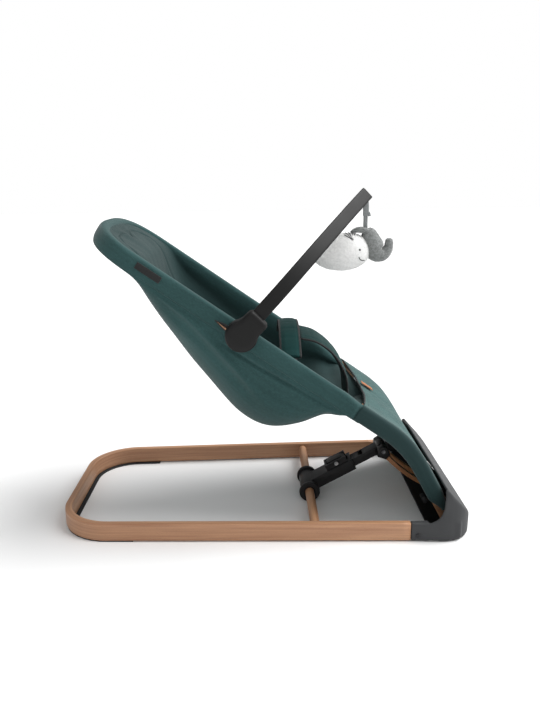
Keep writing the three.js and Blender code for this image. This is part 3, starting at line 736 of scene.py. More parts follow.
# ---- geometry nodes -------------------------------------------------------------------------
class Recipe:
    """A geometry node tree with named inputs."""

    def __init__(self, name: str, inputs: dict[str, str]) -> None:
        """Starts a tree.

        Args:
            name: name of the tree.
            inputs: socket type of each named input.
        """
        self.tree = bpy.data.node_groups.new(name, "GeometryNodeTree")
        sockets = self.tree.interface
        for way in ("INPUT", "OUTPUT"):
            sockets.new_socket("Geometry", in_out=way, socket_type="NodeSocketGeometry")
        self.keys = {}
        for label, kind in inputs.items():
            self.keys[label] = sockets.new_socket(label, in_out="INPUT", socket_type=kind).identifier
        self.start = self.tree.nodes.new("NodeGroupInput")
        self.end = self.tree.nodes.new("NodeGroupOutput")

    def node(self, kind: str, settings: dict | None = None, inputs: dict | None = None) -> bpy.types.Node:
        """Adds a node with its settings first and its values or links after."""
        made = self.tree.nodes.new(kind)
        for key, value in (settings or {}).items():
            setattr(made, key, value)
        for key, value in (inputs or {}).items():
            if isinstance(value, bpy.types.NodeSocket):
                self.tree.links.new(value, made.inputs[key])
            else:
                made.inputs[key].default_value = value
        return made

    def finish(self, geometry: bpy.types.NodeSocket, keep: bpy.types.NodeSocket | None = None) -> None:
        """Ends the tree: real faces, their material, and the original mesh beside them if it is kept."""
        real = self.node("GeometryNodeRealizeInstances", inputs={0: geometry})
        paint = {0: real.outputs[0], 2: self.start.outputs["Material"]}
        painted = self.node("GeometryNodeSetMaterial", inputs=paint)
        result = painted.outputs[0]
        if keep is not None:
            both = self.node("GeometryNodeJoinGeometry")
            self.tree.links.new(keep, both.inputs[0])
            self.tree.links.new(result, both.inputs[0])
            result = both.outputs[0]
        self.tree.links.new(result, self.end.inputs[0])

    def apply(self, source: bpy.types.Object, name: str, values: dict[str, object]) -> bpy.types.Object:
        """Runs the tree on an object.

        Args:
            source: object that carries the input mesh; it is removed.
            name: name of the result.
            values: value of each named input.

        Returns:
            The result as a plain mesh object.
        """
        modifier = source.modifiers.new(self.tree.name, "NODES")
        modifier.node_group = self.tree
        for label, value in values.items():
            modifier[self.keys[label]] = value
        return baked(source, name)


class StitchRecipe(Recipe):
    """Stitches laid end to end along the edges of a line, square to the line's own normals."""

    def __init__(self) -> None:
        """Builds the tree."""
        kinds = {"Pitch": "NodeSocketFloat", "Size": "NodeSocketVector", "Material": "NodeSocketMaterial"}
        super().__init__("stitch_run", kinds)
        start = self.start.outputs
        lift = self.node("GeometryNodeInputNamedAttribute", {"data_type": "FLOAT_VECTOR"}, {"Name": "lift"})
        line = self.node("GeometryNodeMeshToCurve", inputs={0: start["Geometry"]})
        spacing = {"Curve": line.outputs[0], "Length": start["Pitch"]}
        even = self.node("GeometryNodeResampleCurve", {"mode": "LENGTH"}, spacing)
        along = self.node("GeometryNodeInputTangent")
        aimed = self.node("FunctionNodeAlignRotationToVector", {"axis": "X"}, {"Vector": along.outputs[0]})
        stood = self.node("FunctionNodeAlignRotationToVector", {"axis": "Z", "pivot_axis": "X"},
                          {"Rotation": aimed.outputs[0], "Vector": lift.outputs[0]})
        bead = self.node("GeometryNodeMeshUVSphere", inputs={"Segments": 8, "Rings": 5, "Radius": 1.0})
        soft = self.node("GeometryNodeSetShadeSmooth", inputs={0: bead.outputs[0]})
        placed = self.node("GeometryNodeInstanceOnPoints", inputs={
            "Points": even.outputs[0],
            "Instance": soft.outputs[0],
            "Rotation": stood.outputs[0],
            "Scale": start["Size"],
        })
        self.finish(placed.outputs[0])


class PileRecipe(Recipe):
    """Short fibres that stand on a surface and lean at random."""

    def __init__(self) -> None:
        """Builds the tree."""
        kinds = dict.fromkeys(("Density", "Length", "Girth"), "NodeSocketFloat")
        kinds |= {"Seed": "NodeSocketInt", "Material": "NodeSocketMaterial"}
        super().__init__("short_pile", kinds)
        start = self.start.outputs
        roots = self.node("GeometryNodeDistributePointsOnFaces", inputs={
            "Mesh": start["Geometry"], "Density": start["Density"], "Seed": start["Seed"]})
        fibre = self.node("GeometryNodeMeshCone", inputs={
            "Vertices": 4, "Side Segments": 1, "Radius Top": start["Girth"], "Radius Bottom": start["Girth"],
            "Depth": start["Length"]})
        lean = self.node("FunctionNodeRandomValue", {"data_type": "FLOAT_VECTOR"}, {
            "Min": (-0.7, -0.7, -0.7), "Max": (0.7, 0.7, 0.7), "Seed": start["Seed"]})
        turned = self.node("FunctionNodeRotateRotation", {"rotation_space": "LOCAL"}, {
            "Rotation": roots.outputs["Rotation"], "Rotate By": lean.outputs["Value"]})
        placed = self.node("GeometryNodeInstanceOnPoints", inputs={
            "Points": roots.outputs["Points"],
            "Instance": fibre.outputs["Mesh"],
            "Rotation": turned.outputs[0],
        })
        self.finish(placed.outputs[0], keep=start["Geometry"])


@dataclass
class Workshop:
    """The node trees that are shared by every sub-assembly."""

    stitch: StitchRecipe = field(default_factory=StitchRecipe)
    pile: PileRecipe = field(default_factory=PileRecipe)

    def fur(self, source: bpy.types.Object, name: str, fleece: Fleece, seed: int, node: str) -> None:
        """Covers a toy's body with pile and dresses it.

        Args:
            source: the bare body; it is removed.
            name: name of the piece.
            fleece: finish, with the size of its fibres.
            seed: seed of the fibres' places.
            node: frame node that it replaces.
        """
        values = {
            "Density": fleece.density,
            "Length": fleece.length,
            "Girth": fleece.girth,
            "Seed": seed,
            "Material": fleece.material(),
        }
        furry = self.pile.apply(source, name, values)
        dress(furry, fleece, Body.TOYS, node)

    def sew(
        self,
        name: str,
        lines: list[tuple[np.ndarray, np.ndarray]],
        thread: Finish,
        body: Body,
        pitch: float = 3.2 * MM,
        size: tuple[float, float, float] = (1.15 * MM, 0.38 * MM, 0.3 * MM),
    ) -> bpy.types.Object:
        """Sews lines of stitches.

        Args:
            name: name of the piece.
            lines: points and surface normals of each line.
            thread: finish of the thread.
            body: body that it moves with.
            pitch: distance between stitches.
            size: half length, half width and half height of one stitch.

        Returns:
            The dressed stitches.
        """
        points, edges, lifts = [], [], []
        for path, normals in lines:
            first = len(points)
            points += [tuple(p) for p in path]
            lifts += [tuple(n) for n in normals]
            edges += [(first + i, first + i + 1) for i in range(len(path) - 1)]
        mesh = bpy.data.meshes.new("line")
        mesh.from_pydata(points, edges, [])
        attribute = mesh.attributes.new("lift", "FLOAT_VECTOR", "POINT")
        attribute.data.foreach_set("vector", np.array(lifts, np.float32).ravel())
        values = {"Pitch": pitch, "Size": size, "Material": thread.material()}
        made = self.stitch.apply(linked("line", mesh), name, values)
        return dress(made, thread, body)


def row_normals(rows: np.ndarray) -> np.ndarray:
    """Unit normals at each point of a grid of rows."""
    along = np.gradient(rows, axis=0)
    across = np.gradient(rows, axis=1)
    normal = np.cross(along, across)
    return normal / np.maximum(np.linalg.norm(normal, axis=2, keepdims=True), TINY)


# ---- seat geometry --------------------------------------------------------------------------
@dataclass(frozen=True)
class SeatPlane:
    """The sloping plane of the seat frame: s towards the feet, y across, h square to the plane."""

    slope: float = SEAT_SLOPE
    x: float = -54.5 * MM
    z: float = 391.5 * MM

    def points(self, s: np.ndarray, y: np.ndarray, h: np.ndarray) -> np.ndarray:
        """Row-frame points from seat coordinates."""
        cos, sin = math.cos(self.slope), math.sin(self.slope)
        s, y, h = np.broadcast_arrays(s, y, h)
        return np.stack([self.x + s * cos + h * sin, y, self.z - s * sin + h * cos], axis=-1)

    def point(self, s: float, y: float, h: float) -> np.ndarray:
        """One row-frame point."""
        return self.points(np.array(s), np.array(y), np.array(h))


PLANE = SeatPlane()
UP = np.array([math.sin(SEAT_SLOPE), 0.0, math.cos(SEAT_SLOPE)])
DOWN_SLOPE = np.array([math.cos(SEAT_SLOPE), 0.0, -math.sin(SEAT_SLOPE)])
ACROSS = np.array([0.0, 1.0, 0.0])


@dataclass
class Cover:
    """The sewn seat cover: a channel round the frame, a padded head and a deep sling."""

    half: float = 175 * MM
    channel: float = 9.6 * MM
    thick: float = 16.6 * MM
    head_s: float = -190 * MM
    reach: float = 107 * MM
    power: float = 2.8
    end_s: float = 283.5 * MM
    stations: int = 190
    bag_steps: int = 64
    bag_power: float = 2.3
    seam_step: int = 13
    depths: tuple = (
        (-240, 17.5), (-205, 20), (-183, 30), (-140, 60), (-60, 98), (33, 132), (110, 154),
        (170, 147), (223, 111), (262, 58), (288, 34), (304, 6), (318, -2), (330, -4),
    )
    ridge: tuple = ((-175, 10), (-140, 15), (-68, 27), (-21, 38), (82, 68), (150, 96))
    crease: tuple = ((-20, 30), (44, 31), (84, 30.5), (160, 25), (235, 20))

    def rim(self) -> tuple[np.ndarray, np.ndarray]:
        """Middle of the channel on the left side in plan, and its outward directions.

        Returns:
            Points as (s, y), from the legs round to the top of the head, and unit normals.
        """
        angle = np.linspace(0, math.pi / 2, OUTLINE_STEPS)
        bend = 2 / self.power
        half, reach = self.half - self.channel, self.reach - self.channel
        head = np.stack([self.head_s - reach * np.sin(angle) ** bend, half * np.cos(angle) ** bend], axis=1)
        head[-1, 1] = 0.0
        rail = np.array([[self.end_s, half]])
        path = spaced(np.vstack([rail, head]), self.stations)
        along = tangents(path)
        normal = np.stack([along[:, 1], -along[:, 0]], axis=1)
        normal[-1] = (-1.0, 0.0)
        return path, normal

    def depth(self, s: np.ndarray) -> np.ndarray:
        """Depth of the sling's underside below the seat plane, on its middle line."""
        return self.line(self.depths, s, 300)

    def line(self, knots: tuple, s: np.ndarray, count: int = 80) -> np.ndarray:
        """Depth below the seat plane along the sling, from knots in millimetres."""
        curve = catmull(list(knots), count) * MM
        return np.interp(s, curve[:, 0], curve[:, 1])

    def sheets(self) -> tuple[np.ndarray, int]:
        """Rows of points across the left half: underside, round the channel, then the inner face.

        Returns:
            The rows in seat coordinates, and the number of columns before the top of the channel.
        """
        path, normal = self.rim()
        s, y = path[:, 0], path[:, 1]
        head = smooth(-s, 0.115, 0.205)
        deep = smooth(self.depth(s), 0.03, 0.075)
        lead = 0.040 * smooth(s, 0.15, 0.235)
        centre_s = np.where(s < self.head_s, self.head_s + (s - self.head_s) * 0.5, s) + lead
        depth = self.depth(centre_s)
        wall = 0.009 + 0.0135 * smooth(-centre_s, 0.1, 0.2) - 0.006 * smooth(centre_s, 0.275, 0.305)
        end = smooth(s, 0.235, 0.272)
        tucked = 3.4 * MM * smooth(s, 0.264, 0.271)
        widen = 1 + 1.12 * smooth(s, 0.2, 0.238)

        columns = []
        angle = math.pi / 2 * np.linspace(1, 0, self.bag_steps) ** 1.45
        start = path + normal * 6.2 * MM - np.stack([0 * s, tucked * 0.5], axis=1)
        for phi in angle:
            cos, sin = math.cos(phi) ** (2 / self.bag_power), math.sin(phi) ** (2 / self.bag_power)
            plan_s = centre_s + (start[:, 0] - centre_s) * cos
            plan_y = start[:, 1] * cos
            fall = 0.0172 + (depth - 0.0172) * sin
            plan_y, fall = self.folds(plan_s, plan_y, fall, cos, deep)
            columns.append(np.stack([plan_s, plan_y, -fall], axis=1))
        outer = oval(1.0, 1.0, 3.4, -62, 90, 15)
        inner = oval(1.0, 1.0, 3.0, 90, 158, 8)[1:]
        for k, (across, up) in enumerate([*outer, *inner]):
            round_off = 1 - 0.14 * end * max(up, 0) * max(across, 0)
            puff = 1 + 0.035 * np.sin(s * 95 + k * 0.4) * abs(across)
            width = self.channel * across * puff * (widen if across < 0 else 1.0)
            fuller = 0.6 * head * (1 - up) if across < 0 else 0.0
            height = self.thick * (up + fuller) * round_off - 2.7 * MM * end * max(up, 0)
            inward = tucked * max(across, 0)
            round_s = s + normal[:, 0] * width
            round_y = y + normal[:, 1] * width - inward
            columns.append(np.stack([round_s, round_y, height], axis=1))
        top = len(angle) + len(outer)
        lip = path - normal * self.channel * widen[:, None]
        for phi in angle[::-1][1:]:
            cos, sin = math.cos(phi), math.sin(phi)
            power = 2.3 - 0.3 * head
            cos, sin = cos ** (2 / power), sin ** (2 / power)
            tuck = 7 * MM * deep * smooth(phi, 0.02, 0.3) * (1 - smooth(phi, 0.6, 1.3))
            plan_s = centre_s + (lip[:, 0] - centre_s) * cos
            plan_y = (lip[:, 1] + tuck) * cos
            lip_high = 0.004 + 0.0084 * head
            floor = depth - wall - 0.006 * head
            fall = -lip_high + (floor + lip_high) * sin
            fall = fall + self.quilting(lip, plan_s, plan_y)
            columns.append(np.stack([plan_s, plan_y, -fall], axis=1))
        return np.stack(columns, axis=1), top

    def folds(
        self, s: np.ndarray, y: np.ndarray, fall: np.ndarray, cos: float, deep: np.ndarray
    ) -> tuple[np.ndarray, np.ndarray]:
        """Moves points of the outer wall for the long diagonal fold, the crease and slack ripples.

        Args:
            s: place along the seat.
            y: distance from the middle.
            fall: depth below the seat plane.
            cos: share of the way from the middle to the rim.
            deep: 1 where the sling is deep.

        Returns:
            The moved y and depth.
        """
        ridge = np.exp(-(((fall - self.line(self.ridge, s)) / (6.5 * MM)) ** 2))
        ridge *= smooth(s, -0.19, -0.15) * (1 - smooth(s, 0.05, 0.15))
        below = np.exp(-(((fall - self.line(self.ridge, s) - 15 * MM) / (9 * MM)) ** 2))
        below *= smooth(s, -0.16, -0.08) * (1 - smooth(s, 0.05, 0.15))
        crease = np.exp(-(((fall - self.line(self.crease, s)) / (3.2 * MM)) ** 2))
        crease *= smooth(s, -0.03, 0.04) * (1 - smooth(s, 0.2, 0.245))
        ripple = np.array([noise.noise(Vector((a * 9, b * 26, c * 14))) for a, b, c in zip(s, fall, y)])
        hem = smooth(s, 0.17, 0.24) * np.sin((s + fall * 0.6) * 2 * math.pi / 0.017) * 1.1 * MM
        out = 4.6 * MM * ridge - 3.0 * MM * below - 5.0 * MM * crease + 3.0 * MM * ripple * deep + 0.6 * hem
        taper = cos * (0.1 + 0.9 * smooth(fall, 0.019, 0.027))
        return y + out * taper, fall + 1.6 * MM * ripple * deep * (1 - cos)

    def quilting(self, lip: np.ndarray, s: np.ndarray, y: np.ndarray) -> np.ndarray:
        """Depth of the seam, the gathers and the slack on the inner face.

        Args:
            lip: inner edge of the channel.
            s: place along the seat.
            y: distance from the middle.

        Returns:
            Extra depth at each row.
        """
        away = np.hypot(s - lip[:, 0], y - lip[:, 1])
        seam = np.exp(-(((away - 40 * MM) / (3.2 * MM)) ** 2)) * smooth(-s, 0.1, 0.16)
        bearing = np.arctan2(y, s + 0.06)
        gathers = np.sin(bearing * 22 + 1.4 * np.sin(s * 40)) * smooth(away, 0.012, 0.05)
        gathers *= smooth(-s, 0.12, 0.18)
        gathers *= np.exp(-((away - 60 * MM) / (70 * MM)) ** 2)
        slack = np.array([noise.noise(Vector((a * 16, b * 22, 3.1))) for a, b in zip(s, y)])
        level = smooth(away, 0.0, 0.02)
        return 2.4 * MM * seam + 0.7 * MM * gathers + 2.4 * MM * slack * level

    def build(self, shop: Workshop) -> None:
        """Makes the cover, its stitches and the slit beside the hub."""
        rows, top = self.sheets()
        world = PLANE.points(rows[..., 0], rows[..., 1], rows[..., 2])
        halves = []
        for name, side in (("left", 1.0), ("right", -1.0)):
            halves.append(self.half_shell(name, world * np.array([1.0, side, 1.0])))
        cover = joined("seat_cover", halves)
        tidy(cover.data, True, 0.02 * MM)
        dress(cover, SLING_CLOTH, Body.SEAT, "head_pocket", "rail_sleeve_left", "rail_sleeve_right", "sling")
        self.sew_seams(shop, world, top)
        self.slot()

    def half_shell(self, name: str, rows: np.ndarray) -> bpy.types.Object:
        """One half of the cover, closed at the leg end."""
        shell = Skin(rows).build("cover_" + name)
        end = rows[0]
        steps = self.bag_steps
        inner = end[::-1][: steps - 1]
        outer = end[:steps]
        cap = bmesh.new()
        cap.from_mesh(shell.data)
        uv = cap.loops.layers.uv.active
        lower = [cap.verts.new(p) for p in outer]
        upper = [cap.verts.new(p) for p in inner]
        for i in range(len(upper) - 1):
            face = cap.faces.new((lower[i], lower[i + 1], upper[i + 1], upper[i]))
            for loop in face.loops:
                loop[uv].uv = (loop.vert.co.y, loop.vert.co.z)
        ring = [cap.verts.new(p) for p in end[steps - 1 : len(end) - steps + 2]]
        face = cap.faces.new([lower[-2], *ring, upper[-1]])
        for loop in face.loops:
            loop[uv].uv = (loop.vert.co.y, loop.vert.co.z)
        cap.to_mesh(shell.data)
        cap.free()
        return shell

    def slot(self) -> None:
        """The slit for the arm's stud, laid on the surface: a dark sliver of painted shadow where the
        opening is, and a strip of wood on it.
        """
        place = np.linspace(-1, 1, 25)
        bulge = np.maximum(1 - np.abs(place) ** 1.6, 0.0)
        for name, half, low, high, out, finish in (
            # the dark sliver is painted shadow: a black patch standing for the shade inside the open slit
            ("arm_slit", 33.0, -7.0, 6.0, 175.7, BINDING),
            ("arm_slit_wood", 27.0, -4.4, -1.4, 176.1, SEAT_BEECH),
        ):
            along = place * half * MM - 1 * MM
            heights = [-2 * MM + edge * MM * bulge for edge in (low, 0.0, high)]
            front = [PLANE.points(along, -out * MM, height) for height in heights]
            back = [row + ACROSS * 1.2 * MM for row in front[::-1]]
            rows = np.swapaxes(np.array([*front, *back]), 0, 1)
            dress(capped(name, rows), finish, Body.SEAT)

    def sew_seams(self, shop: Workshop, world: np.ndarray, top: int) -> None:
        """Stitch lines under the channel and at its inner edge, on both sides."""
        normals = row_normals(world)
        lines = []
        for column, lift in ((self.bag_steps + 1, 0.35), (top + 7, -0.2)):
            for side in (1.0, -1.0):
                flip = np.array([1.0, side, 1.0])
                path, normal = world[2:-1, column], normals[2:-1, column]
                lines.append(((path + normal * lift * MM) * flip, normal * flip))
        shop.sew("cover_stitches", lines, THREAD_TEAL, Body.SEAT)


@dataclass
class LegCover:
    """The panel over the legs: a top skin drawn round both laths, hemmed at the housing."""

    start_s: float = 270 * MM
    bend_s: float = 333 * MM
    slope: float = math.radians(62)
    pivot: tuple[float, float] = (341 * MM, 24 * MM)
    end_x: float = 331 * MM
    half: float = 175 * MM
    thick: float = 16.6 * MM
    hem_in: float = 139.5 * MM
    cloth: float = 2.6 * MM
    scoop: float = 27 * MM
    shoulder: float = 15 * MM
    hem_round: float = 8 * MM

    def spine(self) -> np.ndarray:
        """Side view of the panel's middle line, evenly spaced."""
        cos, sin = math.cos(SEAT_SLOPE), math.sin(SEAT_SLOPE)

        def on_line(s: float) -> np.ndarray:
            """A point of the seat's line in side view."""
            return np.array([PLANE.x + s * cos, PLANE.z - s * sin])

        down = np.array([math.cos(self.slope), -math.sin(self.slope)])
        end = np.array(self.pivot) + down * ((self.end_x - self.pivot[0]) / down[0])
        seat_tan, leg_tan = math.tan(SEAT_SLOPE), math.tan(self.slope)
        origin = on_line(0.0)
        x = (end[1] - origin[1] + leg_tan * end[0] - seat_tan * origin[0]) / (leg_tan - seat_tan)
        corner = np.array([x, origin[1] - seat_tan * (x - origin[0])])
        bend = on_line(self.bend_s)
        after = corner + down * np.linalg.norm(corner - bend)
        t = np.linspace(0, 1, 20)[:, None]
        curve = (1 - t) ** 2 * bend + 2 * t * (1 - t) * corner + t**2 * after
        return spaced(np.vstack([on_line(self.start_s), curve, end]), 120)

    def section(self, t: float, length: float) -> np.ndarray:
        """Closed outline of the panel in (y, height) at a share of its length.

        Args:
            t: share of the way from the seam to the hem.
            length: length of the panel.

        Returns:
            Points of the outline, the outer face first and the inner face after it.
        """
        left = (1 - t) * length
        tip = 1 - smooth(left, 0.0, 0.034)
        lip = 2.2 * MM * (1 - smooth(left, 0.10, 0.16))
        top, under = self.thick * (1 - 0.25 * tip) - lip, -self.thick * (1 - 0.75 * tip)
        half = self.half - 1.5 * MM * tip

        def chain(inset: float) -> list[tuple[float, float]]:
            """The left half of one face, moved in by an inset."""
            out = []
            for y in np.linspace(0, half - self.shoulder, 70):
                edge = y / (half - self.shoulder)
                sag = 3.4 * MM * (1 - edge**2) * (1 - 0.6 * t)
                pleat = 0.9 * MM * math.sin((y + t * length * 0.16) * 2 * math.pi / 0.0105) * (1 - edge**6)
                crumple = 2.2 * MM * noise.noise(Vector((y * 14, t * length * 9, 1.7)))
                out.append((y, top - inset - sag + pleat + crumple * (1 - edge**4)))
            corner = oval(self.shoulder - inset, top - inset - 1 * MM, 3.4, 90, 0, 13)[1:]
            out += [(half - self.shoulder + a, b + 1 * MM) for a, b in corner]
            lower = oval(self.hem_round - inset * 0.9, -under - inset, 2.6, 0, -90, 7)[1:]
            out += [(half - self.hem_round + a - inset * 0.1, b) for a, b in lower]
            out.append((self.hem_in, under + inset))
            return out

        outer, inner = chain(0.0), chain(self.cloth)
        right = [(-y, h) for y, h in reversed(outer[1:])]
        back = [(-y, h) for y, h in reversed(inner[1:])]
        return np.array([*right, *outer, *inner[::-1], *back[::-1]])

    def build(self, shop: Workshop) -> None:
        """Makes the panel, the piping at its seam and its stitches."""
        path = self.spine()
        along = tangents(path)
        normal = np.stack([-along[:, 1], along[:, 0]], axis=1)
        length = float(np.linalg.norm(np.diff(path, axis=0), axis=1).sum())
        grid = np.array([self.row(i / (len(path) - 1), length, path, normal) for i in range(len(path))])
        panel = capped("leg_cover", grid)
        dress(panel, LEG_CLOTH, Body.SEAT, "leg_panel")
        outer = grid.shape[1] // 2
        rim = 20
        edge = grid[0, rim : outer - rim]
        side, up = roll(edge, tuple(DOWN_SLOPE))
        cord = sweep(edge - DOWN_SLOPE * 0.5 * MM, side, up, closed_oval(1.4 * MM, 1.4 * MM, 2.0, 10))
        dress(capped("leg_seam_piping", cord), BINDING, Body.SEAT)
        normals = row_normals(grid)
        facing = np.sign(np.dot(normals[20, outer // 2], UP))
        lines = []
        for row in (4, len(path) - 5):
            lift = normals[row, rim : outer - rim] * facing
            lines.append((grid[row, rim : outer - rim] + lift * 0.25 * MM, lift))
        shop.sew("leg_stitches", lines, THREAD_TEAL, Body.SEAT)

    def row(self, t: float, length: float, path: np.ndarray, normal: np.ndarray) -> np.ndarray:
        """One row of the panel.

        Args:
            t: share of the way from the seam to the hem.
            length: length of the panel.
            path: side view of the middle line.
            normal: its outward directions.

        Returns:
            Points round the row; those near the middle are further on, so the upper edge is scooped.
        """
        flat = self.section(t, length)
        onward = self.scoop * (1 - t) ** 2 * np.clip(1 - (flat[:, 0] / self.half) ** 2, 0, 1)
        at = t + onward / length
        steps = np.linspace(0, 1, len(path))
        x, z = (np.interp(at, steps, path[:, k]) for k in (0, 1))
        nx, nz = (np.interp(at, steps, normal[:, k]) for k in (0, 1))
        return np.stack([x + nx * flat[:, 1], flat[:, 0], z + nz * flat[:, 1]], axis=1)


@dataclass
class Restraint:
    """The crotch pad and the waist belt, padded and bound at their edges."""

    pad_half: float = 42 * MM
    pad_spread: float = 20 * MM
    pad_thick: float = 5.2 * MM
    belt_half: float = 19 * MM
    belt_thick: float = 4.8 * MM
    binding: float = 2.3 * MM

    def cushion(
        self, path: np.ndarray, side: np.ndarray, up: np.ndarray, half: np.ndarray, thick: float
    ) -> np.ndarray:
        """Rows of a crowned strip whose edges are thin.

        Args:
            path: middle line.
            side: direction across at each point.
            up: direction of the thickness.
            half: half width at each point.
            thick: half thickness at the crown.

        Returns:
            Rows of points round the strip.
        """
        rows = []
        for i, (p, a, b, w) in enumerate(zip(path, side, up, half)):
            section = closed_oval(1.0, 1.0, 2.3, 44)
            channel = 1 - 0.2 * np.exp(-((np.abs(section[:, 0]) - 0.78) / 0.05) ** 2)
            quilt = 1 - 0.13 * abs(math.sin(i * math.pi / 11)) ** 12
            height = section[:, 1] * thick * channel * quilt
            rows.append(p + section[:, :1] * w * a + height[:, None] * b)
        return np.array(rows)

    def bound(self, name: str, rows: np.ndarray, shop: Workshop) -> None:
        """Adds a folded binding and its stitches along both long edges."""
        edges = []
        lines = []
        for column in (0, rows.shape[1] // 2):
            line = rows[:, column]
            side, up = roll(line, tuple(rows[0, rows.shape[1] // 4] - line[0]))
            section = closed_oval(self.binding, self.binding * 0.9, 2.4, 12)
            edges.append(capped(name + "_edge", sweep(line, side, up, section)))
            for quarter in (1, -1):
                seam = rows[:, (column + quarter * 3) % rows.shape[1]]
                other = rows[:, (column - quarter * 3) % rows.shape[1]]
                lift = seam - other
                lift /= np.linalg.norm(lift, axis=1, keepdims=True)
                lines.append((seam + lift * 0.2 * MM, lift))
        dress(joined(name + "_binding", edges), BINDING, Body.SEAT)
        shop.sew(name + "_stitches", lines, THREAD_DARK, Body.SEAT, 2.8 * MM)

    def build(self, shop: Workshop) -> None:
        """Makes both pads and dresses the buckles."""
        knots = [(165, 0, 228), (160, 0, 268), (138, 0, 310), (105, 0, 338), (72, 0, 348)]
        path = catmull(knots, 70) * MM
        side, up = roll(path, (0.0, 1.0, 0.0))
        half = self.pad_half + self.pad_spread * np.linspace(0, 1, len(path)) - 1.5 * MM
        pad_rows = self.cushion(path, side, up, half, self.pad_thick)
        pad = capped("crotch_pad_quilt", pad_rows)
        dress(pad, BELT_CLOTH, Body.SEAT, "crotch_pad")
        self.bound("crotch_pad", pad_rows, shop)

        arch = [(50, y, 368 - 42 * (abs(y) / 118) ** 2.2) for y in (-118, -80, -40, 0, 40, 80, 118)]
        path = catmull(arch, 90) * MM
        side, up = roll(path, (1.0, 0.0, 0.0))
        half = np.full(len(path), self.belt_half - 1.2 * MM)
        belt_rows = self.cushion(path, side, up, half, self.belt_thick)
        belt = capped("waist_belt_quilt", belt_rows)
        dress(belt, BELT_CLOTH, Body.SEAT, "waist_belt")
        self.bound("waist_belt", belt_rows, shop)
        for hand in ("left", "right"):
            polished("belt_buckle_" + hand, BLACK, Body.SEAT, 1.4 * MM, 3)
            polished("belt_web_" + hand, TAPE, Body.SEAT, 0.5 * MM)


@dataclass
class FloorFrame:
    """The bent beech bow on the floor, its dowel and grip strip, and the front housing."""

    half_length: float = 390 * MM
    joint_x: float = 261.7 * MM
    rear_half: float = 190 * MM
    joint_half: float = 210 * MM
    corner: float = 100 * MM
    width: float = 14 * MM
    height: float = 34 * MM
    foot: float = 2 * MM
    voxel: float = 2.1 * MM
    soften_steps: int = 14
    corner_in: float = 18 * MM
    corner_down: float = 15 * MM
    corner_forward: float = 8.5 * MM
    front_in: float = 3 * MM

    def outline(self) -> np.ndarray:
        """Middle line of the rail in plan, from the left joint round the rear to the right joint."""
        inset = self.width / 2
        radius = self.corner - inset
        centre_x = -self.half_length + self.corner
        centre_y = self.rear_half - self.corner
        slope = (self.joint_half - self.rear_half) / (self.joint_x - centre_x)
        straight = np.linspace(self.joint_x, centre_x, 40)
        side = [(x, self.rear_half - inset + slope * (x - centre_x)) for x in straight]
        for angle in np.linspace(math.pi / 2, math.pi, 26)[1:]:
            side.append((centre_x + radius * math.cos(angle), centre_y + radius * math.sin(angle)))
        return np.array([*side, *[(x, -y) for x, y in reversed(side)]])

    def build(self) -> None:
        """Makes the bow and the housing, and rounds the edges of the dowel and the strip."""
        plan = self.outline()
        path = np.column_stack([plan, np.full(len(plan), self.foot + self.height / 2)])
        along = tangents(path)
        up = np.tile([0.0, 0.0, 1.0], (len(path), 1))
        side = np.cross(along, up)
        section = closed_oval(self.width / 2, self.height / 2, 9.0, 56)
        bow = capped("base_bow_bent", sweep(path, side, up, section))
        dress(bow, BENT_BEECH, Body.BASE, "base_bow")
        polished("cross_dowel", DOWEL_BEECH, Body.BASE, 0.8 * MM)
        polished("rear_grip_strip", RUBBER, Body.BASE, 0.4 * MM)
        dress(self.housing(), HOUSING, Body.BASE, "front_housing")

    def housing(self) -> bpy.types.Object:
        """The front moulding with soft fillets, and top corners that draw in."""
        rough = refined("front_housing", 0.2 * MM, 1, 28.0)
        remesh = rough.modifiers.new("even", "REMESH")
        remesh.mode = "VOXEL"
        remesh.voxel_size = self.voxel
        soften = rough.modifiers.new("soften", "SMOOTH")
        soften.factor = 0.5
        soften.iterations = self.soften_steps
        made = baked(rough, "housing_shell")
        points = np.empty(len(made.data.vertices) * 3, np.float32)
        made.data.vertices.foreach_get("co", points)
        points = points.reshape(-1, 3)
        x, y, z = points[:, 0].copy(), points[:, 1].copy(), points[:, 2].copy()
        corner = smooth(np.abs(y), 0.1, 0.208) * smooth(z, 0.04, 0.112)
        points[:, 1] = y - np.sign(y) * self.corner_in * corner
        points[:, 2] = z - self.corner_down * corner
        front = smooth(x, 0.372, 0.392) * smooth(-z, -0.03, -0.004)
        points[:, 0] = x - self.front_in * front + self.corner_forward * corner
        made.data.vertices.foreach_set("co", points.ravel())
        made.data.shade_smooth()
        return made


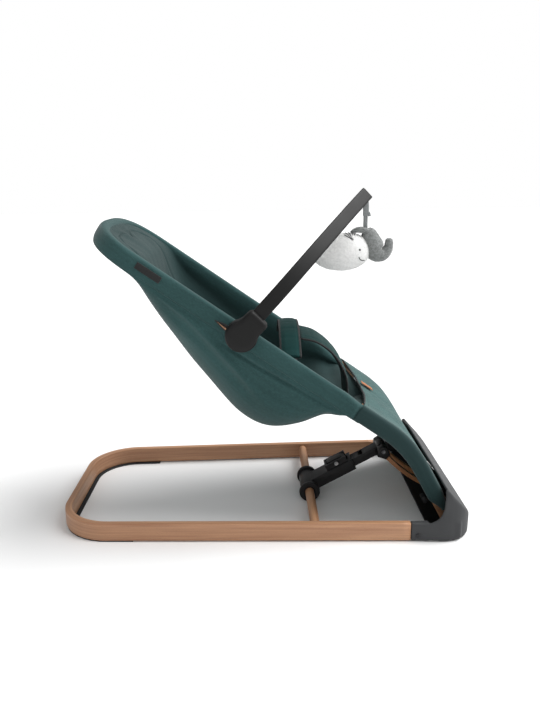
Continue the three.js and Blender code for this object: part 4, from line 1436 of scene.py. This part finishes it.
@dataclass
class Mechanism:
    """The recline strut, its slats and their hardware."""

    def build(self) -> None:
        """Rounds the edges of the strut, the slats, the clips and the laths, and eases the bow."""
        moulded = {
            "strut_sleeve": (Body.STRUT, 0.9),
            "strut_slider": (Body.SLIDER, 0.8),
            "latch_lever": (Body.LATCH, 0.8),
            "slat_head_left": (Body.SLATS, 0.8),
            "slat_head_right": (Body.SLATS, 0.8),
            "slat_foot": (Body.SLATS, 0.6),
            "hub_flange_left": (Body.STRUT, 1.6),
            "hub_flange_right": (Body.STRUT, 1.6),
        }
        for node, (body, edge) in moulded.items():
            polished(node, STRUT_BLACK, body, edge * MM, 3)
        for hand in ("left", "right"):
            polished("spring_slat_" + hand, SLAT_BEECH, Body.SLATS, 1.2 * MM, 3)
            polished("cover_clip_" + hand, BLACK, Body.SEAT, 1.0 * MM)
            polished("leg_lath_" + hand, SEAT_BEECH, Body.SEAT, 1.6 * MM, 3)
        dress(self.bow(), SEAT_BEECH, Body.SEAT, "seat_bow")

    def bow(self) -> bpy.types.Object:
        """The seat's wooden bow, eased at its feet so that it stays under the cloth."""
        made = refined("seat_bow", 1.0 * MM, 2)
        for vertex in made.data.vertices:
            place = np.array(vertex.co) - PLANE.point(0.0, 0.0, 0.0)
            s, h = float(place @ DOWN_SLOPE), float(place @ UP)
            ease = float(smooth(s, 0.19, 0.245))
            out = abs(place[1])
            y = math.copysign(out - (0.22 * (out - 165.0 * MM) + 0.6 * MM) * ease, place[1])
            vertex.co = PLANE.point(s, y, h * (1 - 0.24 * ease))
        return made


@dataclass
class ToyArm:
    """The flat curved arm and the hub that holds it."""

    hub: tuple[float, float] = (-34.5 * MM, 381.5 * MM)
    angle: float = math.atan2(231, 237)
    rise: tuple = ((24, -194), (140, -196), (205, -130), (331, 8))
    camber: float = 9 * MM
    width: float = 25 * MM
    thick: float = 8 * MM
    hub_radius: float = 28 * MM
    hub_shift: tuple[float, float] = (-3 * MM, 3.5 * MM)

    def middle(self, count: int) -> np.ndarray:
        """Middle line of the arm."""
        a, b, c, d = (np.array(p, float) * MM for p in self.rise)
        t = np.linspace(0, 1, count)[:, None]
        flat = (1 - t) ** 3 * a + 3 * t * (1 - t) ** 2 * b + 3 * t**2 * (1 - t) * c + t**3 * d
        along, y = flat[:, 0], flat[:, 1]
        lift = self.camber * np.sin(math.pi * along / (340 * MM)) + 7 * MM * np.exp(-along / (110 * MM))
        cos, sin = math.cos(self.angle), math.sin(self.angle)
        x = self.hub[0] + along * cos - lift * sin
        z = self.hub[1] + along * sin + lift * cos
        return np.stack([x, y, z], axis=1)

    def build(self) -> None:
        """Makes the arm and the hub."""
        path = spaced(self.middle(300), 90)
        across = np.tile([-math.sin(self.angle), 0.0, math.cos(self.angle)], (len(path), 1))
        along = tangents(path)
        outward = np.cross(along, across)
        outward /= np.linalg.norm(outward, axis=1, keepdims=True)
        section = closed_oval(self.width / 2, self.thick / 2, 6.0, 40)
        arm = capped("toy_arm_bar", sweep(path, across, outward, section))
        dress(arm, BLACK, Body.ARM, "toy_arm")
        dress(self.hub_shell(), BLACK, Body.ARM, "arm_socket")

    def hub_shell(self) -> bpy.types.Object:
        """The hub: a rounded shield with a squared collar, domed on its outer face."""
        arc = np.linspace(math.pi * 0.8, math.pi * 2.2, 40)
        shield = [(self.hub_radius * math.cos(a), self.hub_radius * math.sin(a)) for a in arc]
        collar = [(20.5, 24), (20.2, 36), (19.4, 42), (16, 45.6), (9, 46.2), (0, 46.2)]
        right = [(x * MM, y * MM) for x, y in collar]
        left = [(-x, y) for x, y in reversed(right[:-1])]
        outline = spaced(np.array([*shield, *right, *left, shield[0]]), 121)[:-1]
        centre = np.array([0.0, 8 * MM])
        levels = [
            (-182.2, 0.93), (-184.5, 0.985), (-188, 1.0), (-200, 1.0), (-203.5, 0.975),
            (-205.8, 0.92), (-206.9, 0.84), (-207.0, 0.6), (-207.1, 0.3),
        ]
        rows = []
        turn = math.pi / 2 - self.angle
        for y, share in levels:
            flat = centre + (outline - centre) * share
            x = flat[:, 0] * math.cos(turn) + flat[:, 1] * math.sin(turn)
            z = -flat[:, 0] * math.sin(turn) + flat[:, 1] * math.cos(turn)
            level = np.full(len(flat), y * MM)
            x = self.hub[0] + x + self.hub_shift[0]
            z = self.hub[1] + z + self.hub_shift[1]
            rows.append(np.stack([x, level, z], axis=1))
        return capped("arm_hub", np.array(rows))


@dataclass
class Toys:
    """Two plush toys on a strap."""

    strap_x: float = 199 * MM
    body_centre: tuple[float, float, float] = (153 * MM, 0.0, 504 * MM)
    body_radii: tuple[float, float, float] = (56 * MM, 40 * MM, 37.5 * MM)

    def build(self, shop: Workshop) -> None:
        """Makes the strap, the white toy with its face, and the grey toy."""
        self.strap()
        self.white(shop)
        self.grey(shop)

    def strap(self) -> None:
        """A narrow tape that hangs from a doubled tab."""
        x = self.strap_x / MM
        parts = []
        for name, knots, half, thick in (
            ("strap_tape", [(x, 0, 546), (x, 0, 560), (x, 0, 592)], 4.3, 0.9),
            ("strap_tab", [(x, 1.4, 572), (x + 0.5, 1.8, 585), (x, 1.2, 598)], 5.4, 0.8),
            ("strap_back", [(x, -1.4, 572), (x + 0.5, -1.8, 585), (x, -1.2, 598)], 5.4, 0.8),
            ("strap_fold", [(x + 2, 0, 581), (x + 6, -1.2, 577), (x + 7.6, -1.6, 571)], 2.6, 1.4),
        ):
            path = catmull(knots, 24) * MM
            side, up = roll(path, (1.0, 0.0, 0.0))
            section = closed_oval(half * MM, thick * MM, 3.0, 20)
            parts.append(capped(name, sweep(path, side, up, section)))
        dress(joined("toy_strap_tape", parts), GREY_TAPE, Body.TOYS, "toy_strap")

    def white(self, shop: Workshop) -> None:
        """An egg-shaped body with short pile, an eye, a smile and a small tuft."""
        radii = np.array(self.body_radii) * 0.975
        count = 60
        rows = []
        for phi in np.linspace(0.02, math.pi - 0.02, 44):
            ring = []
            for theta in np.linspace(0, 2 * math.pi, count, endpoint=False):
                ring.append(self.egg(phi, theta, radii))
            rows.append(ring)
        body = capped("white_body", np.array(rows))
        body.data.materials.append(WHITE_FLEECE.material())
        shop.fur(body, "plush_white_body", WHITE_FLEECE, SEED, "plush_white")
        self.face(radii)

    def egg(self, phi: float, theta: float, radii: np.ndarray) -> np.ndarray:
        """A point of the white body: phi from the face end, theta round the long axis."""
        along = math.cos(phi)
        girth = math.sin(phi) ** 0.92 * (1 + 0.10 * along)
        tilt = 0.10
        local = np.array([along, math.cos(theta) * girth * 0.95, math.sin(theta) * girth * 0.95]) * radii
        x = local[0] * math.cos(tilt) - local[2] * math.sin(tilt)
        z = local[0] * math.sin(tilt) + local[2] * math.cos(tilt)
        return np.array(self.body_centre) + np.array([x, local[1], z])

    def on_front(self, x: float, z: float, radii: np.ndarray) -> np.ndarray:
        """A point of the white body's near side above a place in X and Z, in millimetres."""
        centre = np.array(self.body_centre)
        dx, dz = (x * MM - centre[0]) / radii[0], (z * MM - centre[2]) / radii[2]
        depth = radii[1] * math.sqrt(max(0.02, 1 - dx * dx - dz * dz))
        return np.array([x * MM, centre[1] - depth - 1.3 * MM, z * MM])

    def face(self, radii: np.ndarray) -> None:
        """Embroidered eye, smile and tuft."""
        parts = []
        strokes = [
            [(183, 497.5), (185.5, 493), (190, 490.2), (195.5, 489.8)],
            [(157, 538), (165, 533.5), (172, 528.5)],
            [(160, 541), (166, 536), (172, 528.5)],
            [(166, 542), (169, 536), (172, 528.5)],
            [(173, 542.5), (173, 536), (172, 528.5)],
            [(179, 541), (176, 535), (172, 528.5)],
        ]
        for i, stroke in enumerate(strokes):
            path = catmull([tuple(self.on_front(x, z, radii)) for x, z in stroke], 20)
            side, up = roll(path, (0.0, 1.0, 0.0))
            section = closed_oval(0.8 * MM, 0.75 * MM, 2.0, 8)
            parts.append(capped(f"stroke_{i}", sweep(path, side, up, section)))
        eye = self.on_front(184.6, 510.7, radii)
        around = np.linspace(0, 2 * math.pi, 20, endpoint=False)
        rows = []
        for polar in np.linspace(0.05, math.pi - 0.05, 12):
            wide, deep = 2.1 * MM * math.sin(polar), -1.3 * MM * math.cos(polar)
            rows.append([eye + np.array([wide * math.cos(a), deep, wide * math.sin(a)]) for a in around])
        parts.append(capped("eye", np.array(rows)))
        dress(joined("toy_face_threads", parts), THREAD_DARK, Body.TOYS)

    def grey(self, shop: Workshop) -> None:
        """A rounded rump that runs into a curled trunk, and a leaf from the strap's foot."""
        knots = [(201, 546), (206, 536), (212, 518), (221, 503), (234, 500), (244, 511), (245.5, 529)]
        path = catmull([(x, 0, z) for x, z in knots], 60) * MM
        side, up = roll(path, (0.0, 1.0, 0.0))
        sizes = [(0, 8), (0.1, 15), (0.34, 21), (0.52, 17.5), (0.68, 12), (0.85, 8.2), (0.96, 7.2), (1, 3.5)]
        girth = catmull(sizes, 60)
        scale = np.interp(np.linspace(0, 1, len(path)), girth[:, 0], girth[:, 1]) * MM
        rows = sweep(path, side, up, closed_oval(1.0, 1.0, 2.0, 36), np.stack([scale, scale], axis=1))
        trunk = capped("grey_body", rows)
        leaf_path = catmull([(210, -3, 540), (198, -5, 545), (184, -4, 546), (171, -1, 542)], 40) * MM
        leaf_side, leaf_up = roll(leaf_path, (0.0, 1.0, 0.0))
        taper = np.sin(np.linspace(0.35, math.pi - 0.12, 40)) ** 0.6
        section = closed_oval(7.5 * MM, 5.6 * MM, 2.2, 20)
        scale = np.stack([taper, taper], axis=1)
        leaf = capped("grey_leaf", sweep(leaf_path, leaf_side, leaf_up, section, scale))
        both = joined("grey_both", [trunk, leaf])
        shop.fur(both, "plush_grey_body", GREY_FLEECE, SEED + 1, "plush_grey")


@dataclass
class Labels:
    """The blank side label and the blank leather tag."""

    def build(self, shop: Workshop) -> None:
        """Dresses both labels and sews the tag's edges."""
        polished("side_label", TAPE, Body.SEAT, 0.5 * MM)
        polished("leather_tag", TAG_LEATHER, Body.SEAT)
        centre = PLANE.point(315 * MM, 30 * MM, 18.7 * MM)
        corners = [(-11.6, -6.6), (11.6, -6.6), (11.6, 6.6), (-11.6, 6.6), (-11.6, -6.6)]
        path = np.array([centre + DOWN_SLOPE * a * MM + ACROSS * b * MM for a, b in corners])
        lines = [(path, np.tile(UP, (len(path), 1)))]
        shop.sew("tag_stitches", lines, THREAD_TAN, Body.SEAT, 2.6 * MM, (0.9 * MM, 0.3 * MM, 0.25 * MM))


@dataclass
class Studio:
    """Pale floor, soft light and the camera."""

    place: tuple[float, float, float] = (-0.0068, -1.3273, 0.637)
    pitch: float = 0.2548
    yaw: float = 0.0153
    roll: float = -0.0125
    lens: float = 34.23
    floor_half: float = 14.0
    sky: float = 0.4

    def camera(self) -> None:
        """Places the camera."""
        level = math.cos(self.pitch)
        forward = Vector((math.sin(self.yaw) * level, math.cos(self.yaw) * level, -math.sin(self.pitch)))
        flat = Vector((math.cos(self.yaw), -math.sin(self.yaw), 0.0))
        high = flat.cross(forward)
        right = math.cos(self.roll) * flat + math.sin(self.roll) * high
        up = -math.sin(self.roll) * flat + math.cos(self.roll) * high
        data = bpy.data.cameras.new("camera")
        data.lens = self.lens
        data.sensor_width = 36.0
        data.sensor_fit = "AUTO"
        data.clip_start = 0.05
        data.clip_end = 60.0
        camera = bpy.data.objects.new("camera", data)
        turn = Matrix((right, up, -forward)).transposed().to_4x4()
        camera.matrix_world = Matrix.Translation(self.place) @ turn
        bpy.context.scene.collection.objects.link(camera)
        bpy.context.scene.camera = camera

    def floor(self) -> None:
        """A wide pale floor."""
        ends = (-self.floor_half, self.floor_half)
        rows = np.array([[(x, y, 0.0) for x in ends] for y in ends])
        floor = Skin(rows[::-1]).build("floor")
        graph = Graph("floor_paper")
        fibres = graph.grain(graph.place(Coords.OBJECT, (1.0, 1.0, 1.0)), 900.0, 2.0)
        colour = graph.mix(fibres * 0.1, tone("f0f0f0"), tone("e8e8e8"))
        floor.data.materials.append(graph.close(colour, 0.9, fibres, 0.02 * MM, Specular_IOR_Level=0.1))

    def lights(self) -> None:
        """Soft sky, a broad key from above the feet and a weak fill from the near side."""
        world = bpy.data.worlds.new("studio")
        bpy.context.scene.world = world
        world.use_nodes = True
        tree = world.node_tree
        tree.nodes.clear()
        out = tree.nodes.new("ShaderNodeOutputWorld")
        dim, white, swap, path = (tree.nodes.new(k) for k in (
            "ShaderNodeBackground", "ShaderNodeBackground", "ShaderNodeMixShader", "ShaderNodeLightPath"))
        dim.inputs[1].default_value = self.sky
        white.inputs[1].default_value = 1.0
        for node in (dim, white):
            node.inputs[0].default_value = (1.0, 1.0, 1.0, 1.0)
        tree.links.new(path.outputs["Is Camera Ray"], swap.inputs[0])
        tree.links.new(dim.outputs[0], swap.inputs[1])
        tree.links.new(white.outputs[0], swap.inputs[2])
        tree.links.new(swap.outputs[0], out.inputs[0])
        for name, power, spread, aim in (
            ("key", 4.4, 50.0, (0.8, 0.12, 1.0)),
            ("fill", 0.45, 60.0, (-0.1, -1.0, 0.9)),
        ):
            data = bpy.data.lights.new(name, "SUN")
            data.energy = power
            data.angle = math.radians(spread)
            lamp = bpy.data.objects.new(name, data)
            lamp.rotation_euler = Vector(aim).to_track_quat("Z", "Y").to_euler()
            bpy.context.scene.collection.objects.link(lamp)
        settings = bpy.context.scene.view_settings
        settings.view_transform = "Standard"
        settings.look = "None"

    def build(self) -> None:
        """Sets up the whole studio."""
        self.camera()
        self.floor()
        self.lights()


def dress_frame_nodes(nodes: dict[str, bpy.types.Object]) -> None:
    """Gives the frame nodes that still show their finishes, by their slots."""
    usual = (
        SEAT_BEECH, HOUSING, BLACK, RUBBER, STEEL, SLING_CLOTH, LEG_CLOTH, BELT_CLOTH, TAPE,
        TAG_LEATHER, WHITE_FLEECE, GREY_FLEECE,
    )
    finishes = {finish.slot: finish for finish in usual}
    for name, node in nodes.items():
        if node.hide_render:
            continue
        own = node.material_slots[0].material.name.split(".")[0] if node.material_slots else ""
        slot = next((s for s in Slot if s.value == own), Slot.BLACK)
        if own != slot.value:
            LOG.warning("%s has no known slot (%s)", name, own)
        dark = name.startswith(("rail_screw", "strut_pin", "shaft_ring"))
        finish = DARK_STEEL if dark else finishes[slot]
        for holder in node.material_slots:
            holder.material = finish.material()


def main() -> None:
    """Loads the frame and builds each sub-assembly in order."""
    logging.basicConfig(level=logging.INFO, format="%(message)s")
    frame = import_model()
    Studio().build()
    shop = Workshop()
    FloorFrame().build()
    Mechanism().build()
    Cover().build(shop)
    LegCover().build(shop)
    Restraint().build(shop)
    ToyArm().build()
    Toys().build(shop)
    Labels().build(shop)
    dress_frame_nodes(frame["nodes"])


if __name__ == "__main__":
    main()
